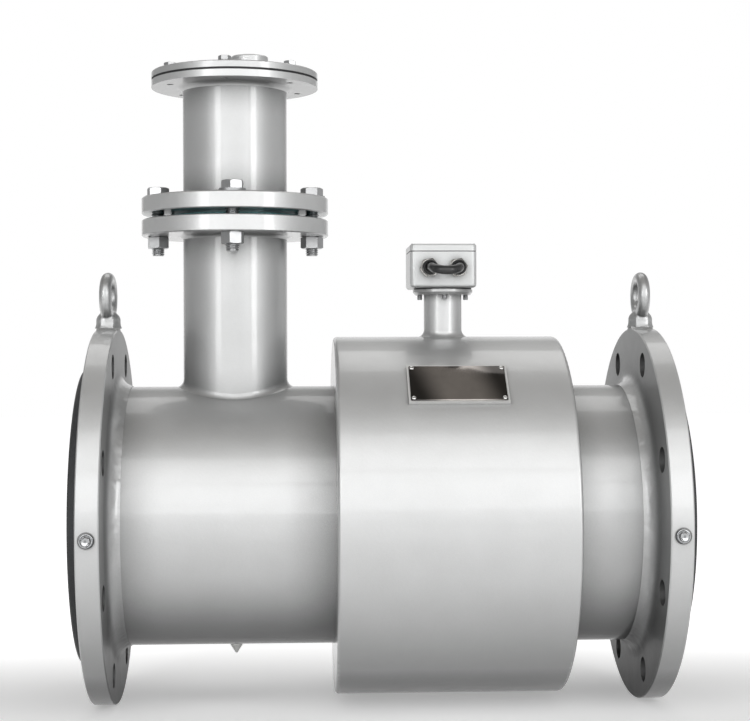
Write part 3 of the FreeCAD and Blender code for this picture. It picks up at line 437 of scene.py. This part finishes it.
gap_shade, given, made = effect(
    "gap_shade", {"Color": "NodeSocketColor"}, {"Color": "NodeSocketColor"})
spot = along(gap_shade, where(gap_shade))
in_gap = calc(gap_shade, "MULTIPLY",
              calc(gap_shade, "GREATER_THAN", spot["Z"], joint_gap_heights[0]),
              calc(gap_shade, "LESS_THAN", spot["Z"], joint_gap_heights[1]))
gap_shade.links.new(blend(gap_shade, in_gap, given.outputs["Color"], joint_gap_shade_color),
                    made.inputs["Color"])

# Painted shade: the colour darkens in corners and near neighbouring parts, within Reach, from
# ambient occlusion.
corner_reach = 0.045
fine_corner_reach = 0.008
corner_dark = 0.50
corner_edges = (0.48, 0.97)

corner_shade, given, made = effect(
    "corner_shade", {"Color": "NodeSocketColor", "Reach": "NodeSocketFloat"},
    {"Color": "NodeSocketColor"})
shut_in = make_node(corner_shade, "ShaderNodeAmbientOcclusion", {
    "Distance": given.outputs["Reach"]}, samples=4)
open_share = ramp(corner_shade, shut_in.outputs["AO"], *corner_edges, corner_dark,
                  smooth=False)
corner_shade.links.new(scaled(corner_shade, given.outputs["Color"], open_share),
                       made.inputs["Color"])


def lay_over(tree, shader, group, **extra):
    """Lays one more effect over what feeds the base colour."""
    under = shader.inputs["Base Color"].links[0].from_socket
    laid = group_node(tree, group, {"Color": under, **extra})
    tree.links.new(laid.outputs["Color"], shader.inputs["Base Color"])
    return laid


def lay_ring_shade(tree, shader, dark_from, dark_to, shade):
    """Paints a ring of shade round the middle of each earthing screw."""
    lay_over(tree, shader, screw_ring_shade, Shade=shade,
             **{"Dark From": dark_from, "Dark To": dark_to})


def painted(name, color, metal, roughness, coat, peel, below=body_underside_shade,
            corner=corner_reach):
    """Sprayed paint, with painted shade in corners and where the piece faces the floor."""
    material, tree, shader = new_finish(name, metal, coat, silver_coat_roughness)
    set_color(tree, shader, color, *paint_cloud)
    lay_over(tree, shader, corner_shade, Reach=corner)
    if below:
        shade_below, starts = below
        lay_over(tree, shader, painted_underside_shade, Shade=shade_below, Starts=starts)
    set_gloss(tree, shader, roughness, *paint_spread)
    skin_relief = group_node(tree, orange_peel, {"Scale": peel})
    set_relief(tree, shader, skin_relief.outputs["Height"], peel_depth)
    return material


def dress(material, *nodes):
    """Gives CAD nodes this finish."""
    for node in nodes:
        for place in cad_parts[node].material_slots:
            place.material = material


silver_paint = painted("silver_paint", silver_color, silver_metal, silver_roughness,
                       silver_coat, peel_scale)
dress(silver_paint, "housing_shell", "housing_inlet_plate", "housing_outlet_plate")
tube_paint = painted("tube_paint", silver_color, silver_metal, silver_roughness,
                     silver_coat, peel_scale, below=tube_underside_shade)
dress(tube_paint, "measuring_tube")
trim_paint = painted("trim_paint", silver_color, silver_metal, silver_roughness,
                     silver_coat, peel_scale, corner=fine_corner_reach)
dress(trim_paint, "riser_top_flange", "sensor_socket", "neck_pipe", "neck_flange")
# The chimney gets a darker copy of the silver paint: painted shade.
chimney_shaded_color = (0.535, 0.54, 0.54, 1.0)
chimney_corner_reach = 0.030
chimney_paint = painted("chimney_paint", chimney_shaded_color, silver_metal, silver_roughness,
                        silver_coat, peel_scale, corner=chimney_corner_reach)
dress(chimney_paint, "branch_pipe", "riser_pipe", "top_cover")

flange_paint = painted("flange_paint", silver_color, silver_metal, silver_roughness,
                       silver_coat, peel_scale)
tree = flange_paint.node_tree
shader = tree.nodes["Principled BSDF"]
lay_over(tree, shader, painted_hole_shade)
lay_ring_shade(tree, shader, *rim_ring_shade)
weld = group_node(tree, weld_ripple, {"Scale": weld_scale})
weld_bump = make_node(tree, "ShaderNodeBump", {
    "Height": weld.outputs["Height"], "Distance": weld_depth,
    "Normal": shader.inputs["Normal"].links[0].from_socket})
tree.links.new(weld_bump.outputs["Normal"], shader.inputs["Normal"])
inside = lay_over(tree, shader, painted_inside_shade, Coat=silver_coat)
tree.links.new(inside.outputs["Coat"], shader.inputs["Coat Weight"])
dress(flange_paint, "inlet_flange", "outlet_flange")

joint_paint = painted("joint_paint", silver_color, silver_metal, silver_roughness,
                      silver_coat, peel_scale, corner=fine_corner_reach)
tree = joint_paint.node_tree
lay_over(tree, tree.nodes["Principled BSDF"], gap_shade)
dress(joint_paint, "branch_flange", "riser_foot_flange")

# A paler copy of the silver paint, without underside shade: painted light on the pad and its
# lower edge.
pad_lit_color = (0.80, 0.80, 0.79, 1.0)
pad_metal = 0.45
pad_paint = painted("pad_paint", pad_lit_color, pad_metal, 0.36, silver_coat, peel_scale,
                    below=None, corner=fine_corner_reach)
dress(pad_paint, "nameplate_pad")

# Rubber liner
# A hard rubber sleeve, moulded into the tube and flared over both flange faces as their
# seal. It is matt black with a fine moulded grain and a little talc left in it.
liner_color = (0.030, 0.031, 0.033, 1.0)


def plain_finish(name, color, cloud, spread, grain, **plain):
    """Moulded, drawn or cut stuff: a cloudy colour, uneven gloss and a fine grain."""
    material, tree, shader = new_finish(name, **plain)
    grain_scale, grain_detail, grain_depth = grain
    set_color(tree, shader, color, *cloud)
    set_gloss(tree, shader, *spread)
    set_relief(tree, shader, noise(tree, grain_scale, grain_detail), grain_depth)
    return material


liner_rubber = plain_finish("liner_rubber", liner_color, (0.16, 45.0, 0.25, 900.0),
                            (0.62, 0.25, 90.0), (1400.0, 2.0, 0.00005), sheen=0.15)
dress(liner_rubber, "tube_liner")

# Lifting eyes
# A forged steel eye is screwed into the top of each flange rim and painted with it. The
# ring runs into its six-sided collar with a soft forged fillet.
eye_places = (0.010, 0.501)
eye_seat = 0.172
eye_ring_height = 0.0281
eye_ring_r = 0.0165
eye_section_r = 0.0055
eye_collar_flats = 0.0204
eye_skin_step = 0.0006
eye_turns = (math.radians(-4), math.radians(1))
eye_shaded_color = (0.47, 0.475, 0.475, 1.0)
ring_points = 48
bevel_share = 0.475

# The eyes get a darker copy of the silver paint: painted shade.
eye_paint = painted("eye_paint", eye_shaded_color, 0.80, 0.40, 0.55, 420.0,
                    corner=fine_corner_reach)


def circle(radius, height, count=ring_points):
    """Points of a level circle about Z."""
    step = 2 * math.pi / count
    return [Vector((radius * math.cos(step * k), radius * math.sin(step * k), height))
            for k in range(count)]


def hexagon(flats, height, fall=0.0):
    """Points of a level hexagon about Z, its corners lowered as the bevel of a nut is."""
    points = []
    for k in range(ring_points):
        angle = 2 * math.pi * k / ring_points
        off_flat = (angle % (math.pi / 3)) - math.pi / 6
        reach = flats / 2 / math.cos(off_flat)
        low = fall * (reach - bevel_share * flats)
        points.append(Vector((reach * math.cos(angle), reach * math.sin(angle),
                              height - low)))
    return points


def worn_hexagon(flats, height):
    """Points of a level hexagon whose corners are drawn halfway back to a circle."""
    return [(sharp_point + round_point) / 2 for sharp_point, round_point in zip(
        hexagon(flats, height), circle(0.53 * flats, height))]


def add_skin(form, rings, loop=False):
    """Joins rings of equal count into a closed skin, looped or capped at both ends."""
    lines = [[form.verts.new(point) for point in ring] for ring in rings]
    pairs = list(zip(lines, lines[1:]))
    if loop:
        pairs.append((lines[-1], lines[0]))
    for low, high in pairs:
        for k in range(len(low)):
            after = (k + 1) % len(low)
            form.faces.new((low[k], low[after], high[after], high[k]))
    if not loop:
        form.faces.new(list(reversed(lines[0])))
        form.faces.new(lines[-1])


def finish_piece(name, form, material, nodes=(), sharp=math.radians(35)):
    """Turns a form into a piece of the meter that rides on its one body."""
    bmesh.ops.recalc_face_normals(form, faces=form.faces)
    mesh = bpy.data.meshes.new(name)
    form.to_mesh(mesh)
    form.free()
    mesh.polygons.foreach_set("use_smooth", [True] * len(mesh.polygons))
    mesh.set_sharp_from_angle(angle=sharp)
    mesh.materials.append(material)
    piece = bpy.data.objects.new(name, mesh)
    bpy.context.collection.objects.link(piece)
    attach(piece, "root")
    if nodes:
        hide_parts(*nodes)


def remeshed(form, step, rounds):
    """The form as one even skin, its joints softened by a few rounds of smoothing."""
    rough = bpy.data.meshes.new("rough")
    form.to_mesh(rough)
    form.free()
    holder = bpy.data.objects.new("rough", rough)
    bpy.context.collection.objects.link(holder)
    evened = holder.modifiers.new("even", "REMESH")
    evened.mode = "VOXEL"
    evened.voxel_size = step
    softened = holder.modifiers.new("soft", "SMOOTH")
    softened.factor = 0.5
    softened.iterations = rounds
    bpy.context.view_layer.update()
    found = bpy.data.meshes.new_from_object(
        holder.evaluated_get(bpy.context.evaluated_depsgraph_get()))
    result = bmesh.new()
    result.from_mesh(found)
    bpy.data.objects.remove(holder)
    return result


for end, place, eye_turn in zip(("inlet", "outlet"), eye_places, eye_turns):
    form = bmesh.new()
    spin = Matrix.Rotation(eye_turn, 3, "Z")
    ring_rings = []
    for k in range(72):
        turn = 2 * math.pi * k / 72
        out = Vector((0, math.sin(turn), -math.cos(turn)))
        thick = eye_section_r * (1 + 0.10 * max(0.0, math.cos(turn)) ** 2)
        ring_rings.append([out * (eye_ring_r + thick * math.cos(a)) + Vector(
            (thick * math.sin(a), 0, 0)) for a in (2 * math.pi * j / 28 for j in range(28))])
    centre = Vector((place, 0, eye_seat + eye_ring_height))
    add_skin(form, [[centre + spin @ p for p in ring] for ring in ring_rings], loop=True)
    seat = Vector((place, 0, eye_seat))
    collar = [worn_hexagon(1.14 * eye_collar_flats, -0.0014),
              worn_hexagon(1.03 * eye_collar_flats, 0.0014),
              worn_hexagon(eye_collar_flats, 0.0040), worn_hexagon(eye_collar_flats, 0.0074),
              worn_hexagon(0.91 * eye_collar_flats, 0.0100),
              circle(0.40 * eye_collar_flats, 0.0122),
              circle(0.30 * eye_collar_flats, 0.0144)]
    add_skin(form, [[seat + spin @ p for p in ring] for ring in collar])
    finish_piece(f"lifting_eye_{end}", remeshed(form, eye_skin_step, 9), eye_paint,
                 ("lifting_eyes",), sharp=math.radians(60))

# Zinc-plated fasteners
# Bolts, nuts, washers and screws are bright zinc-plated steel: cold-forged heads with
# rolled threads, rubbed a little by the spanner and with a faint blue cast.
zinc_color = (0.46, 0.465, 0.47, 1.0)
washer_color = (0.36, 0.365, 0.37, 1.0)
bevel_slope = math.tan(math.radians(30))
rings_per_turn = 8
m6_radius = 0.003
m6_pitch = 0.001

rubbing, given, made = effect(
    "rubbed_metal",
    {"Roughness": "NodeSocketFloat", "Amount": "NodeSocketFloat", "Scale": "NodeSocketFloat",
     "Along": "NodeSocketVector"},
    {"Roughness": "NodeSocketFloat", "Height": "NodeSocketFloat"})
stretched = make_node(rubbing, "ShaderNodeVectorMath", {
    0: where(rubbing), 1: given.outputs["Along"]}, operation="MULTIPLY")
strokes = make_node(rubbing, "ShaderNodeTexNoise", {
    "Vector": stretched.outputs[0], "Scale": given.outputs["Scale"], "Detail": 3.0})
stroke_offset = calc(rubbing, "SUBTRACT", strokes.outputs["Fac"], 0.5)
rubbing.links.new(calc(rubbing, "MULTIPLY_ADD", stroke_offset, given.outputs["Amount"],
                       given.outputs["Roughness"]), made.inputs["Roughness"])
rubbing.links.new(strokes.outputs["Fac"], made.inputs["Height"])


def bare_metal(name, color, roughness, stretch, depth):
    """Unpainted metal, rubbed more finely along the directions with the larger stretch."""
    material, tree, shader = new_finish(name, metal=1.0)
    set_color(tree, shader, color, 0.06, 160.0)
    rubbed = group_node(tree, rubbing, {"Roughness": roughness, "Amount": 0.30,
                                        "Scale": 700.0, "Along": stretch})
    tree.links.new(rubbed.outputs["Roughness"], shader.inputs["Roughness"])
    set_relief(tree, shader, rubbed.outputs["Height"], depth)
    return material


zinc_steel = bare_metal("zinc_steel", zinc_color, 0.34, (1.0, 1.0, 3.0), 0.00002)
dress(zinc_steel, "electrode_nuts", "terminal_screws")
washer_zinc = bare_metal("washer_zinc", washer_color, 0.48, (1.0, 1.0, 1.0), 0.00001)
dress(washer_zinc, "joint_washers", "cover_washers")


def thread_rings(radius, pitch, low, high):
    """Rings of a rolled thread about Z, from its low end up."""
    depth = 0.61 * pitch
    rings = [circle(radius - depth, low)]
    steps = round((high - low) / pitch * rings_per_turn)
    for j in range(steps + 1):
        height = low + (high - low) * j / steps
        fade = min(1.0, (height - low) / pitch, (high - height) / pitch + 0.25)
        ring = []
        for k in range(ring_points):
            turn = 2 * math.pi * k / ring_points
            phase = (height / pitch - turn / (2 * math.pi)) % 1.0
            reach = radius - depth * (abs(2 * phase - 1) * fade + (1 - fade) * (
                1.0 if height < (low + high) / 2 else 0.0))
            ring.append(Vector((reach * math.cos(turn), reach * math.sin(turn), height)))
        rings.append(ring)
    return rings


def hex_bolt(form, place, flats, head, radius, pitch, length, threaded, turn):
    """Hexagon bolt whose head stands on place and whose shank hangs down from it."""
    rings = thread_rings(radius, pitch, -length, threaded - length)
    rings += [circle(radius, threaded - length), circle(radius, 0.0),
              circle(bevel_share * flats, 0.0), circle(bevel_share * flats, 0.0003),
              hexagon(flats, 0.0003), hexagon(flats, head, fall=bevel_slope),
              circle(bevel_share * flats, head), circle(0.40 * flats, head),
              circle(0.38 * flats, head - 0.0002)]
    spin = Matrix.Rotation(turn, 3, "Z")
    add_skin(form, [[place + spin @ p for p in ring] for ring in rings])


def hex_nut(form, place, flats, height, bore, turn):
    """Hexagon nut that hangs down from place, bevelled on both faces."""
    low = [Vector((p.x, p.y, -height - p.z)) for p in hexagon(flats, 0.0, fall=bevel_slope)]
    rings = [hexagon(flats, 0.0, fall=bevel_slope * 0.5), low,
             circle(bevel_share * flats, -height), circle(bore * 1.08, -height),
             circle(bore, -height + 0.0006), circle(bore, -0.0006),
             circle(bore * 1.08, 0.0), circle(bevel_share * flats, 0.0)]
    spin = Matrix.Rotation(turn, 3, "Z")
    add_skin(form, [[place + spin @ p for p in ring] for ring in rings], loop=True)


# Bolts and nuts of the chimney joint
# Four M12 bolts stand through both chimney flanges with their heads up, and the nuts under
# the lower flange leave a few turns of thread showing.
chimney_x = 0.126
joint_circle_r = 0.0703
joint_upper_face = 0.2897
joint_lower_face = 0.2545
joint_washer = 0.0025
joint_flats = 0.018
joint_head = 0.0075
joint_bolt_r = 0.006
joint_pitch = 0.00175
joint_bolt_length = 0.055
joint_bolt_threaded = 0.040
joint_nut_height = 0.0108

bolts = bmesh.new()
nuts = bmesh.new()
for number, (side, rear) in enumerate(((0, 1), (1, 0), (0, -1), (-1, 0))):
    x = chimney_x + joint_circle_r * side
    y = joint_circle_r * rear
    hex_bolt(bolts, Vector((x, y, joint_upper_face + joint_washer)), joint_flats,
             joint_head, joint_bolt_r, joint_pitch, joint_bolt_length,
             joint_bolt_threaded, math.radians(33 + 25 * number))
    hex_nut(nuts, Vector((x, y, joint_lower_face)), joint_flats, joint_nut_height,
            joint_bolt_r, math.radians(-21 - 40 * number))
finish_piece("chimney_bolts", bolts, zinc_steel, ("joint_bolts",))
finish_piece("chimney_nuts", nuts, zinc_steel, ("joint_nuts",))

# Screws of the chimney cover
# Six M6 hexagon screws with plain washers clamp the cover and its gasket to the top flange.
cover_circle_r = 0.0625
cover_top = 0.4044
cover_washer = 0.0016
cover_flats = 0.010
cover_head = 0.004
cover_screw_length = 0.012
cover_screw_threaded = 0.011
cover_turn = math.radians(6.1)

screws = bmesh.new()
for number in range(6):
    turn = cover_turn + math.radians(60 * number)
    x = chimney_x - cover_circle_r * math.sin(turn)
    y = -cover_circle_r * math.cos(turn)
    hex_bolt(screws, Vector((x, y, cover_top + cover_washer)), cover_flats, cover_head,
             m6_radius, m6_pitch, cover_screw_length, cover_screw_threaded,
             math.radians(17 * number))
finish_piece("cover_screws_threaded", screws, zinc_steel, ("cover_screws",))

# Earthing screws
# An M6 screw with a dished hexagon head and a rolled washer, both bright plated, takes the
# earthing strap on the front of each flange rim. The rim is spot faced under it.
earth_turn = math.radians(91.7)
earth_rise = 0.1696
earth_washer_height = 0.0016
earth_flats = 0.0080
earth_screw_length = 0.012
screw_shades = ((0.0036, 0.0049, 0.30), (0.0058, 0.0074, 0.16), (0.0, 0.0012, 0.55))
bright_color = (0.54, 0.55, 0.56, 1.0)

# The dark rings laid over the screws and washers are painted shade and painted reflection.
bright_zinc = bare_metal("bright_zinc", bright_color, 0.14, (1.0, 1.0, 1.0), 0.000004)
tree = bright_zinc.node_tree
for ring in screw_shades:
    lay_ring_shade(tree, tree.nodes["Principled BSDF"], *ring)
earth_screws = bmesh.new()
earth_washers = bmesh.new()
out = Vector((0, -math.sin(earth_turn), math.cos(earth_turn)))
tilt = out.to_track_quat("Z", "X").to_matrix()
for place, screw_turn in zip(eye_places, (math.radians(12), math.radians(40))):
    seat = Vector((place, 0, 0)) + out * earth_rise
    spin = tilt @ Matrix.Rotation(screw_turn, 3, "Z")
    washer = [circle(r, z) for r, z in (
        (0.0031, 0.0), (0.0060, 0.0), (0.0063, 0.0004), (0.0063, 0.0009), (0.0061, 0.0014),
        (0.0057, 0.0017), (0.0053, 0.0017), (0.0049, 0.0014), (0.0046, 0.0010),
        (0.0031, 0.0010))]
    add_skin(earth_washers, [[seat + spin @ p for p in ring] for ring in washer], loop=True)
    under = earth_washer_height
    rings = thread_rings(m6_radius, m6_pitch, under - earth_screw_length, under - 0.001)
    rings += [circle(m6_radius, under - 0.0006), circle(0.0047, under - 0.0006),
              circle(0.0050, under), circle(0.0049, under + 0.0007),
              hexagon(0.98 * earth_flats, under + 0.0009),
              hexagon(earth_flats, under + 0.0013), hexagon(earth_flats, under + 0.0031),
              hexagon(0.93 * earth_flats, under + 0.0037, fall=0.3),
              circle(0.42 * earth_flats, under + 0.0040),
              circle(0.36 * earth_flats, under + 0.0039),
              circle(0.30 * earth_flats, under + 0.0034),
              circle(0.16 * earth_flats, under + 0.0030),
              circle(0.02 * earth_flats, under + 0.0029)]
    add_skin(earth_screws, [[seat + spin @ p for p in ring] for ring in rings])
finish_piece("dished_earth_screws", earth_screws, bright_zinc,
             ("earth_screws",))
finish_piece("rolled_earth_washers", earth_washers, bright_zinc,
             ("earth_washers",), sharp=math.radians(50))

# Gaskets
# The chimney joint is packed with a ring of blue-green compressed fibre. The cover, the neck
# and the box lid lie on black sheet rubber.
fibre_color = (0.20, 0.50, 0.52, 1.0)
rubber_color = (0.018, 0.018, 0.019, 1.0)

gasket_fibre = plain_finish("gasket_fibre", fibre_color, (0.20, 300.0, 0.35, 2500.0),
                            (0.45, 0.3, 400.0), (2200.0, 3.0, 0.00008))
dress(gasket_fibre, "joint_gasket")
gasket_rubber = plain_finish("gasket_rubber", rubber_color, (0.25, 200.0),
                             (0.65, 0.2, 300.0), (3000.0, 1.0, 0.00003))
dress(gasket_rubber, "cover_gasket", "neck_gasket", "lid_seal", "gland_seals")

# Plug of the cover's socket and drain plug
# Both are turned stainless steel and are screwed in; the drain plug points down from the
# tube under the chimney. The electrodes inside are turned from the same bar.
turned_color = (0.56, 0.56, 0.55, 1.0)

turned_steel = bare_metal("turned_steel", turned_color, 0.28, (1.0, 1.0, 6.0), 0.00002)
dress(turned_steel, "socket_plug", "drain_plug", "front_electrode", "rear_electrode")

# Neck screws
# Four M5 screws hold the box to the neck from inside, and their threaded ends stand out
# under the neck flange.
neck_x = 0.3168
neck_circle_r = 0.0212
box_floor = 0.2105
neck_screw_r = 0.0025
neck_screw_pitch = 0.0008
neck_screw_length = 0.0139

neck_screws = bmesh.new()
for side, rear in ((0, 1), (1, 0), (0, -1), (-1, 0)):
    place = Vector((neck_x + neck_circle_r * side, neck_circle_r * rear, box_floor))
    rings = thread_rings(neck_screw_r, neck_screw_pitch, -neck_screw_length, -0.001)
    rings += [circle(neck_screw_r, 0.0), circle(0.0040, 0.0), circle(0.0040, 0.0026),
              circle(0.0034, 0.0036), circle(0.0020, 0.0036), circle(0.0019, 0.0016)]
    add_skin(neck_screws, [[place + p for p in ring] for ring in rings])
finish_piece("neck_screws_threaded", neck_screws, zinc_steel,
             ("neck_screws",))

# Junction box and lid
# The cast aluminium box and its lid have a smooth, paler baked coat, with rounded corners
# and a dark seal between them. Sunk slotted screws hold the lid.
box_color = (0.65, 0.66, 0.66, 1.0)

box_paint = painted("box_paint", box_color, 0.35, 0.40, 0.3, 520.0,
                    corner=fine_corner_reach)
dress(box_paint, "junction_box", "junction_box_lid")
dress(zinc_steel, "lid_screws")

# Terminals and leads inside the box and housing
# A grey-green moulded strip takes the electrode and coil leads, which come up the neck in
# thin dull red insulation.
strip_color = (0.21, 0.29, 0.23, 1.0)
lead_color = (0.30, 0.09, 0.07, 1.0)

terminal_plastic = plain_finish("terminal_plastic", strip_color, (0.05, 120.0),
                                (0.45, 0.15, 250.0), (2400.0, 1.0, 0.00002))
dress(terminal_plastic, "terminal_block")
lead_jacket = plain_finish("lead_jacket", lead_color, (0.12, 150.0),
                           (0.42, 0.15, 250.0), (900.0, 1.0, 0.00004))
dress(lead_jacket, "signal_leads", "coil_leads")

# Cable glands
# Each gland is a nickel-plated body with a six-sided collar against the box, a lock nut
# inside, and a black nylon cap with grip ribs that squeezes a rubber bush on the cable.
gland_places = (0.302, 0.328)
gland_height = 0.225
gland_face = -0.036
gland_cap_r = 0.0070
gland_cap_length = 0.010
gland_ribs = 22
nickel_color = (0.50, 0.49, 0.47, 1.0)
nylon_color = (0.022, 0.022, 0.023, 1.0)

gland_nickel = bare_metal("gland_nickel", nickel_color, 0.17, (1.0, 6.0, 1.0), 0.00002)
dress(gland_nickel, "gland_bodies", "gland_locknuts")

gland_nylon = plain_finish("gland_nylon", nylon_color, (0.15, 200.0),
                           (0.30, 0.2, 300.0), (2600.0, 2.0, 0.00003))

caps = bmesh.new()
for place in gland_places:
    profile = ((0.0056, 0.0, 0), (0.0067, 0.0, 0), (gland_cap_r, 0.0004, 0),
               (gland_cap_r, 0.0008, 1), (gland_cap_r, 0.0062, 1), (gland_cap_r, 0.0067, 0),
               (0.0069, 0.0076, 0), (0.0064, 0.0088, 0), (0.0056, 0.0097, 0),
               (0.0050, gland_cap_length, 0), (0.0046, 0.0098, 0), (0.0045, 0.0090, 0),
               (0.0045, 0.0080, 0), (0.0048, 0.0080, 0), (0.0048, 0.0045, 0),
               (0.0056, 0.0045, 0))
    rings = []
    for radius, height, ribbed in profile:
        ring = []
        for k in range(gland_ribs * 6):
            turn = 2 * math.pi * k / (gland_ribs * 6)
            dip = 0.00035 * max(0.0, math.cos(gland_ribs * turn)) if ribbed else 0.0
            ring.append(Vector((place + (radius - dip) * math.sin(turn),
                                gland_face - height,
                                gland_height + (radius - dip) * math.cos(turn))))
        rings.append(ring)
    add_skin(caps, rings, loop=True)
finish_piece("ribbed_gland_caps", caps, gland_nylon, ("gland_caps",))

# Jumper cable
# A short stiff black cable leaves one gland and goes back into the other in a tight loop.
# Its jacket is smooth extruded rubber.
cable_color = (0.020, 0.020, 0.021, 1.0)
cable_diameter = 0.008
cable_points = ((0.302, -0.0245, 0.2250), (0.302, -0.0520, 0.2250),
                (0.304, -0.0630, 0.2225), (0.315, -0.0690, 0.2206),
                (0.326, -0.0630, 0.2225), (0.328, -0.0520, 0.2250),
                (0.328, -0.0245, 0.2250))

cable_jacket = plain_finish("cable_jacket", cable_color, (0.2, 120.0),
                            (0.30, 0.15, 220.0), (1500.0, 1.0, 0.000006), coat=0.15)

cable_line = bpy.data.curves.new("jumper_cable", "CURVE")
cable_line.dimensions = "3D"
cable_spline = cable_line.splines.new("NURBS")
cable_spline.points.add(len(cable_points) - 1)
for point, place in zip(cable_spline.points, cable_points):
    point.co = (*place, 1.0)
cable_spline.order_u = 3
cable_spline.use_endpoint_u = True
cable_spline.resolution_u = 24
cable_line.bevel_depth = cable_diameter / 2
cable_line.bevel_resolution = 8
cable_line.materials.append(cable_jacket)
cable = bpy.data.objects.new("jumper_cable", cable_line)
bpy.context.collection.objects.link(cable)
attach(cable, "root")
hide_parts("cable_loop")

# Nameplate and its rivets
# A thin mirror-polished steel plate, left bare, on a flat pad high on the front of the
# housing. Four round-headed aluminium rivets hold its corners.
plate_reflection_tint = (0.45, 0.418, 0.395, 1.0)
plate_end_shade = 0.15
plate_angle = math.radians(42.2)
plate_centre_x = 0.320
plate_centre_z = 0.122
plate_slant = 0.45
reflection_middle_x = 0.3195
reflection_edges = (0.012, 0.038)
plate_width = 0.083
plate_height = 0.0425
plate_corner_r = 0.001
plate_face = 0.165
rivet_across = 0.0389
rivet_ahead = 0.01865
rivet_head_r = 0.0020
rivet_color = (0.74, 0.74, 0.73, 1.0)

# The plate's brownish tint and its darker ends along a slant are painted reflection.
polished_plate, tree, shader = new_finish("polished_plate", metal=1.0)
on_plate = along(tree, where(tree))
slanted = calc(tree, "MULTIPLY_ADD", on_plate["Z"], plate_slant, on_plate["X"])
from_middle = calc(tree, "SUBTRACT", slanted,
                   reflection_middle_x + plate_slant * plate_centre_z)
plate_reflection_shade = ramp(tree, calc(tree, "ABSOLUTE", from_middle), *reflection_edges,
               1.0, plate_end_shade)
set_color(tree, shader, scaled(tree, plate_reflection_tint, plate_reflection_shade), 0.10, 40.0)
set_gloss(tree, shader, 0.10, 0.10, 90.0)
set_relief(tree, shader, noise(tree, 30.0, 1.0), 0.0006)

plate_form = bmesh.new()
plate_turn = Matrix.Rotation(plate_angle, 3, "X")
rings = []
for inset, height in ((0.0, -0.0010), (0.0, -0.0006), (0.00008, -0.00032), (0.0003, -0.0001),
                      (0.0006, 0.0)):
    corner = plate_corner_r - min(inset, 0.8 * plate_corner_r)
    ring = []
    for number, (side, rear) in enumerate(((1, 1), (-1, 1), (-1, -1), (1, -1))):
        for k in range(9):
            turn = math.pi / 2 * (number + k / 8)
            ring.append(Vector((
                plate_centre_x + side * (plate_width / 2 - inset - corner)
                + corner * math.cos(turn),
                rear * (plate_height / 2 - inset - corner) + corner * math.sin(turn),
                plate_face + height)))
    rings.append([plate_turn @ p for p in ring])
add_skin(plate_form, rings)
finish_piece("bevelled_nameplate", plate_form, polished_plate,
             ("nameplate",), sharp=math.radians(50))

rivet_aluminium = bare_metal("rivet_aluminium", rivet_color, 0.26, (1.0, 1.0, 1.0), 0.00001)
rivets = bmesh.new()
for side in (-1, 1):
    for rear in (-1, 1):
        profile = [(0.0011, -0.0026), (0.0011, 0.0), (rivet_head_r, 0.0)]
        profile += [(rivet_head_r * math.cos(math.radians(a)),
                     0.0001 + 0.0008 * math.sin(math.radians(a))) for a in range(0, 90, 15)]
        profile += [(0.0001, 0.0009)]
        middle = Vector((plate_centre_x + side * rivet_across, rear * rivet_ahead,
                         plate_face))
        add_skin(rivets, [[plate_turn @ (middle + p) for p in circle(r, z, 32)]
                          for r, z in profile])
finish_piece("domed_rivets", rivets, rivet_aluminium,
             ("nameplate_rivets",))

# Magnet coils, pole shoes and yoke
# Inside the closed housing, saddle coils of varnished copper wire lie on the tube round
# laminated pole shoes, with a steel yoke band clamped over both.
winding_color = (0.56, 0.24, 0.10, 1.0)
core_color = (0.17, 0.17, 0.18, 1.0)

copper_winding, tree, shader = new_finish("copper_winding", metal=0.9, coat=0.4)
set_color(tree, shader, winding_color, 0.15, 80.0)
set_gloss(tree, shader, 0.35, 0.15, 200.0)
turns = make_node(tree, "ShaderNodeTexWave", {
    "Vector": where(tree), "Scale": 320.0, "Distortion": 0.6}, bands_direction="X")
set_relief(tree, shader, turns.outputs["Fac"], 0.0003)
dress(copper_winding, "upper_coil", "lower_coil")

core_steel, tree, shader = new_finish("core_steel", metal=0.9)
set_color(tree, shader, core_color, 0.2, 60.0)
set_gloss(tree, shader, 0.5, 0.2, 150.0)
sheets = make_node(tree, "ShaderNodeTexWave", {
    "Vector": where(tree), "Scale": 600.0, "Distortion": 0.2}, bands_direction="X")
set_relief(tree, shader, sheets.outputs["Fac"], 0.0001)
dress(core_steel, "upper_pole_shoe", "lower_pole_shoe", "flux_yoke")

# Electrode sleeves
# White fluoroplastic bushes insulate the two measuring electrodes from the tube.
sleeve_color = (0.85, 0.85, 0.83, 1.0)

white_insulator = plain_finish("white_insulator", sleeve_color, (0.03, 150.0),
                               (0.45, 0.1, 200.0), (1800.0, 1.0, 0.00002))
dress(white_insulator, "front_electrode_sleeve", "rear_electrode_sleeve")
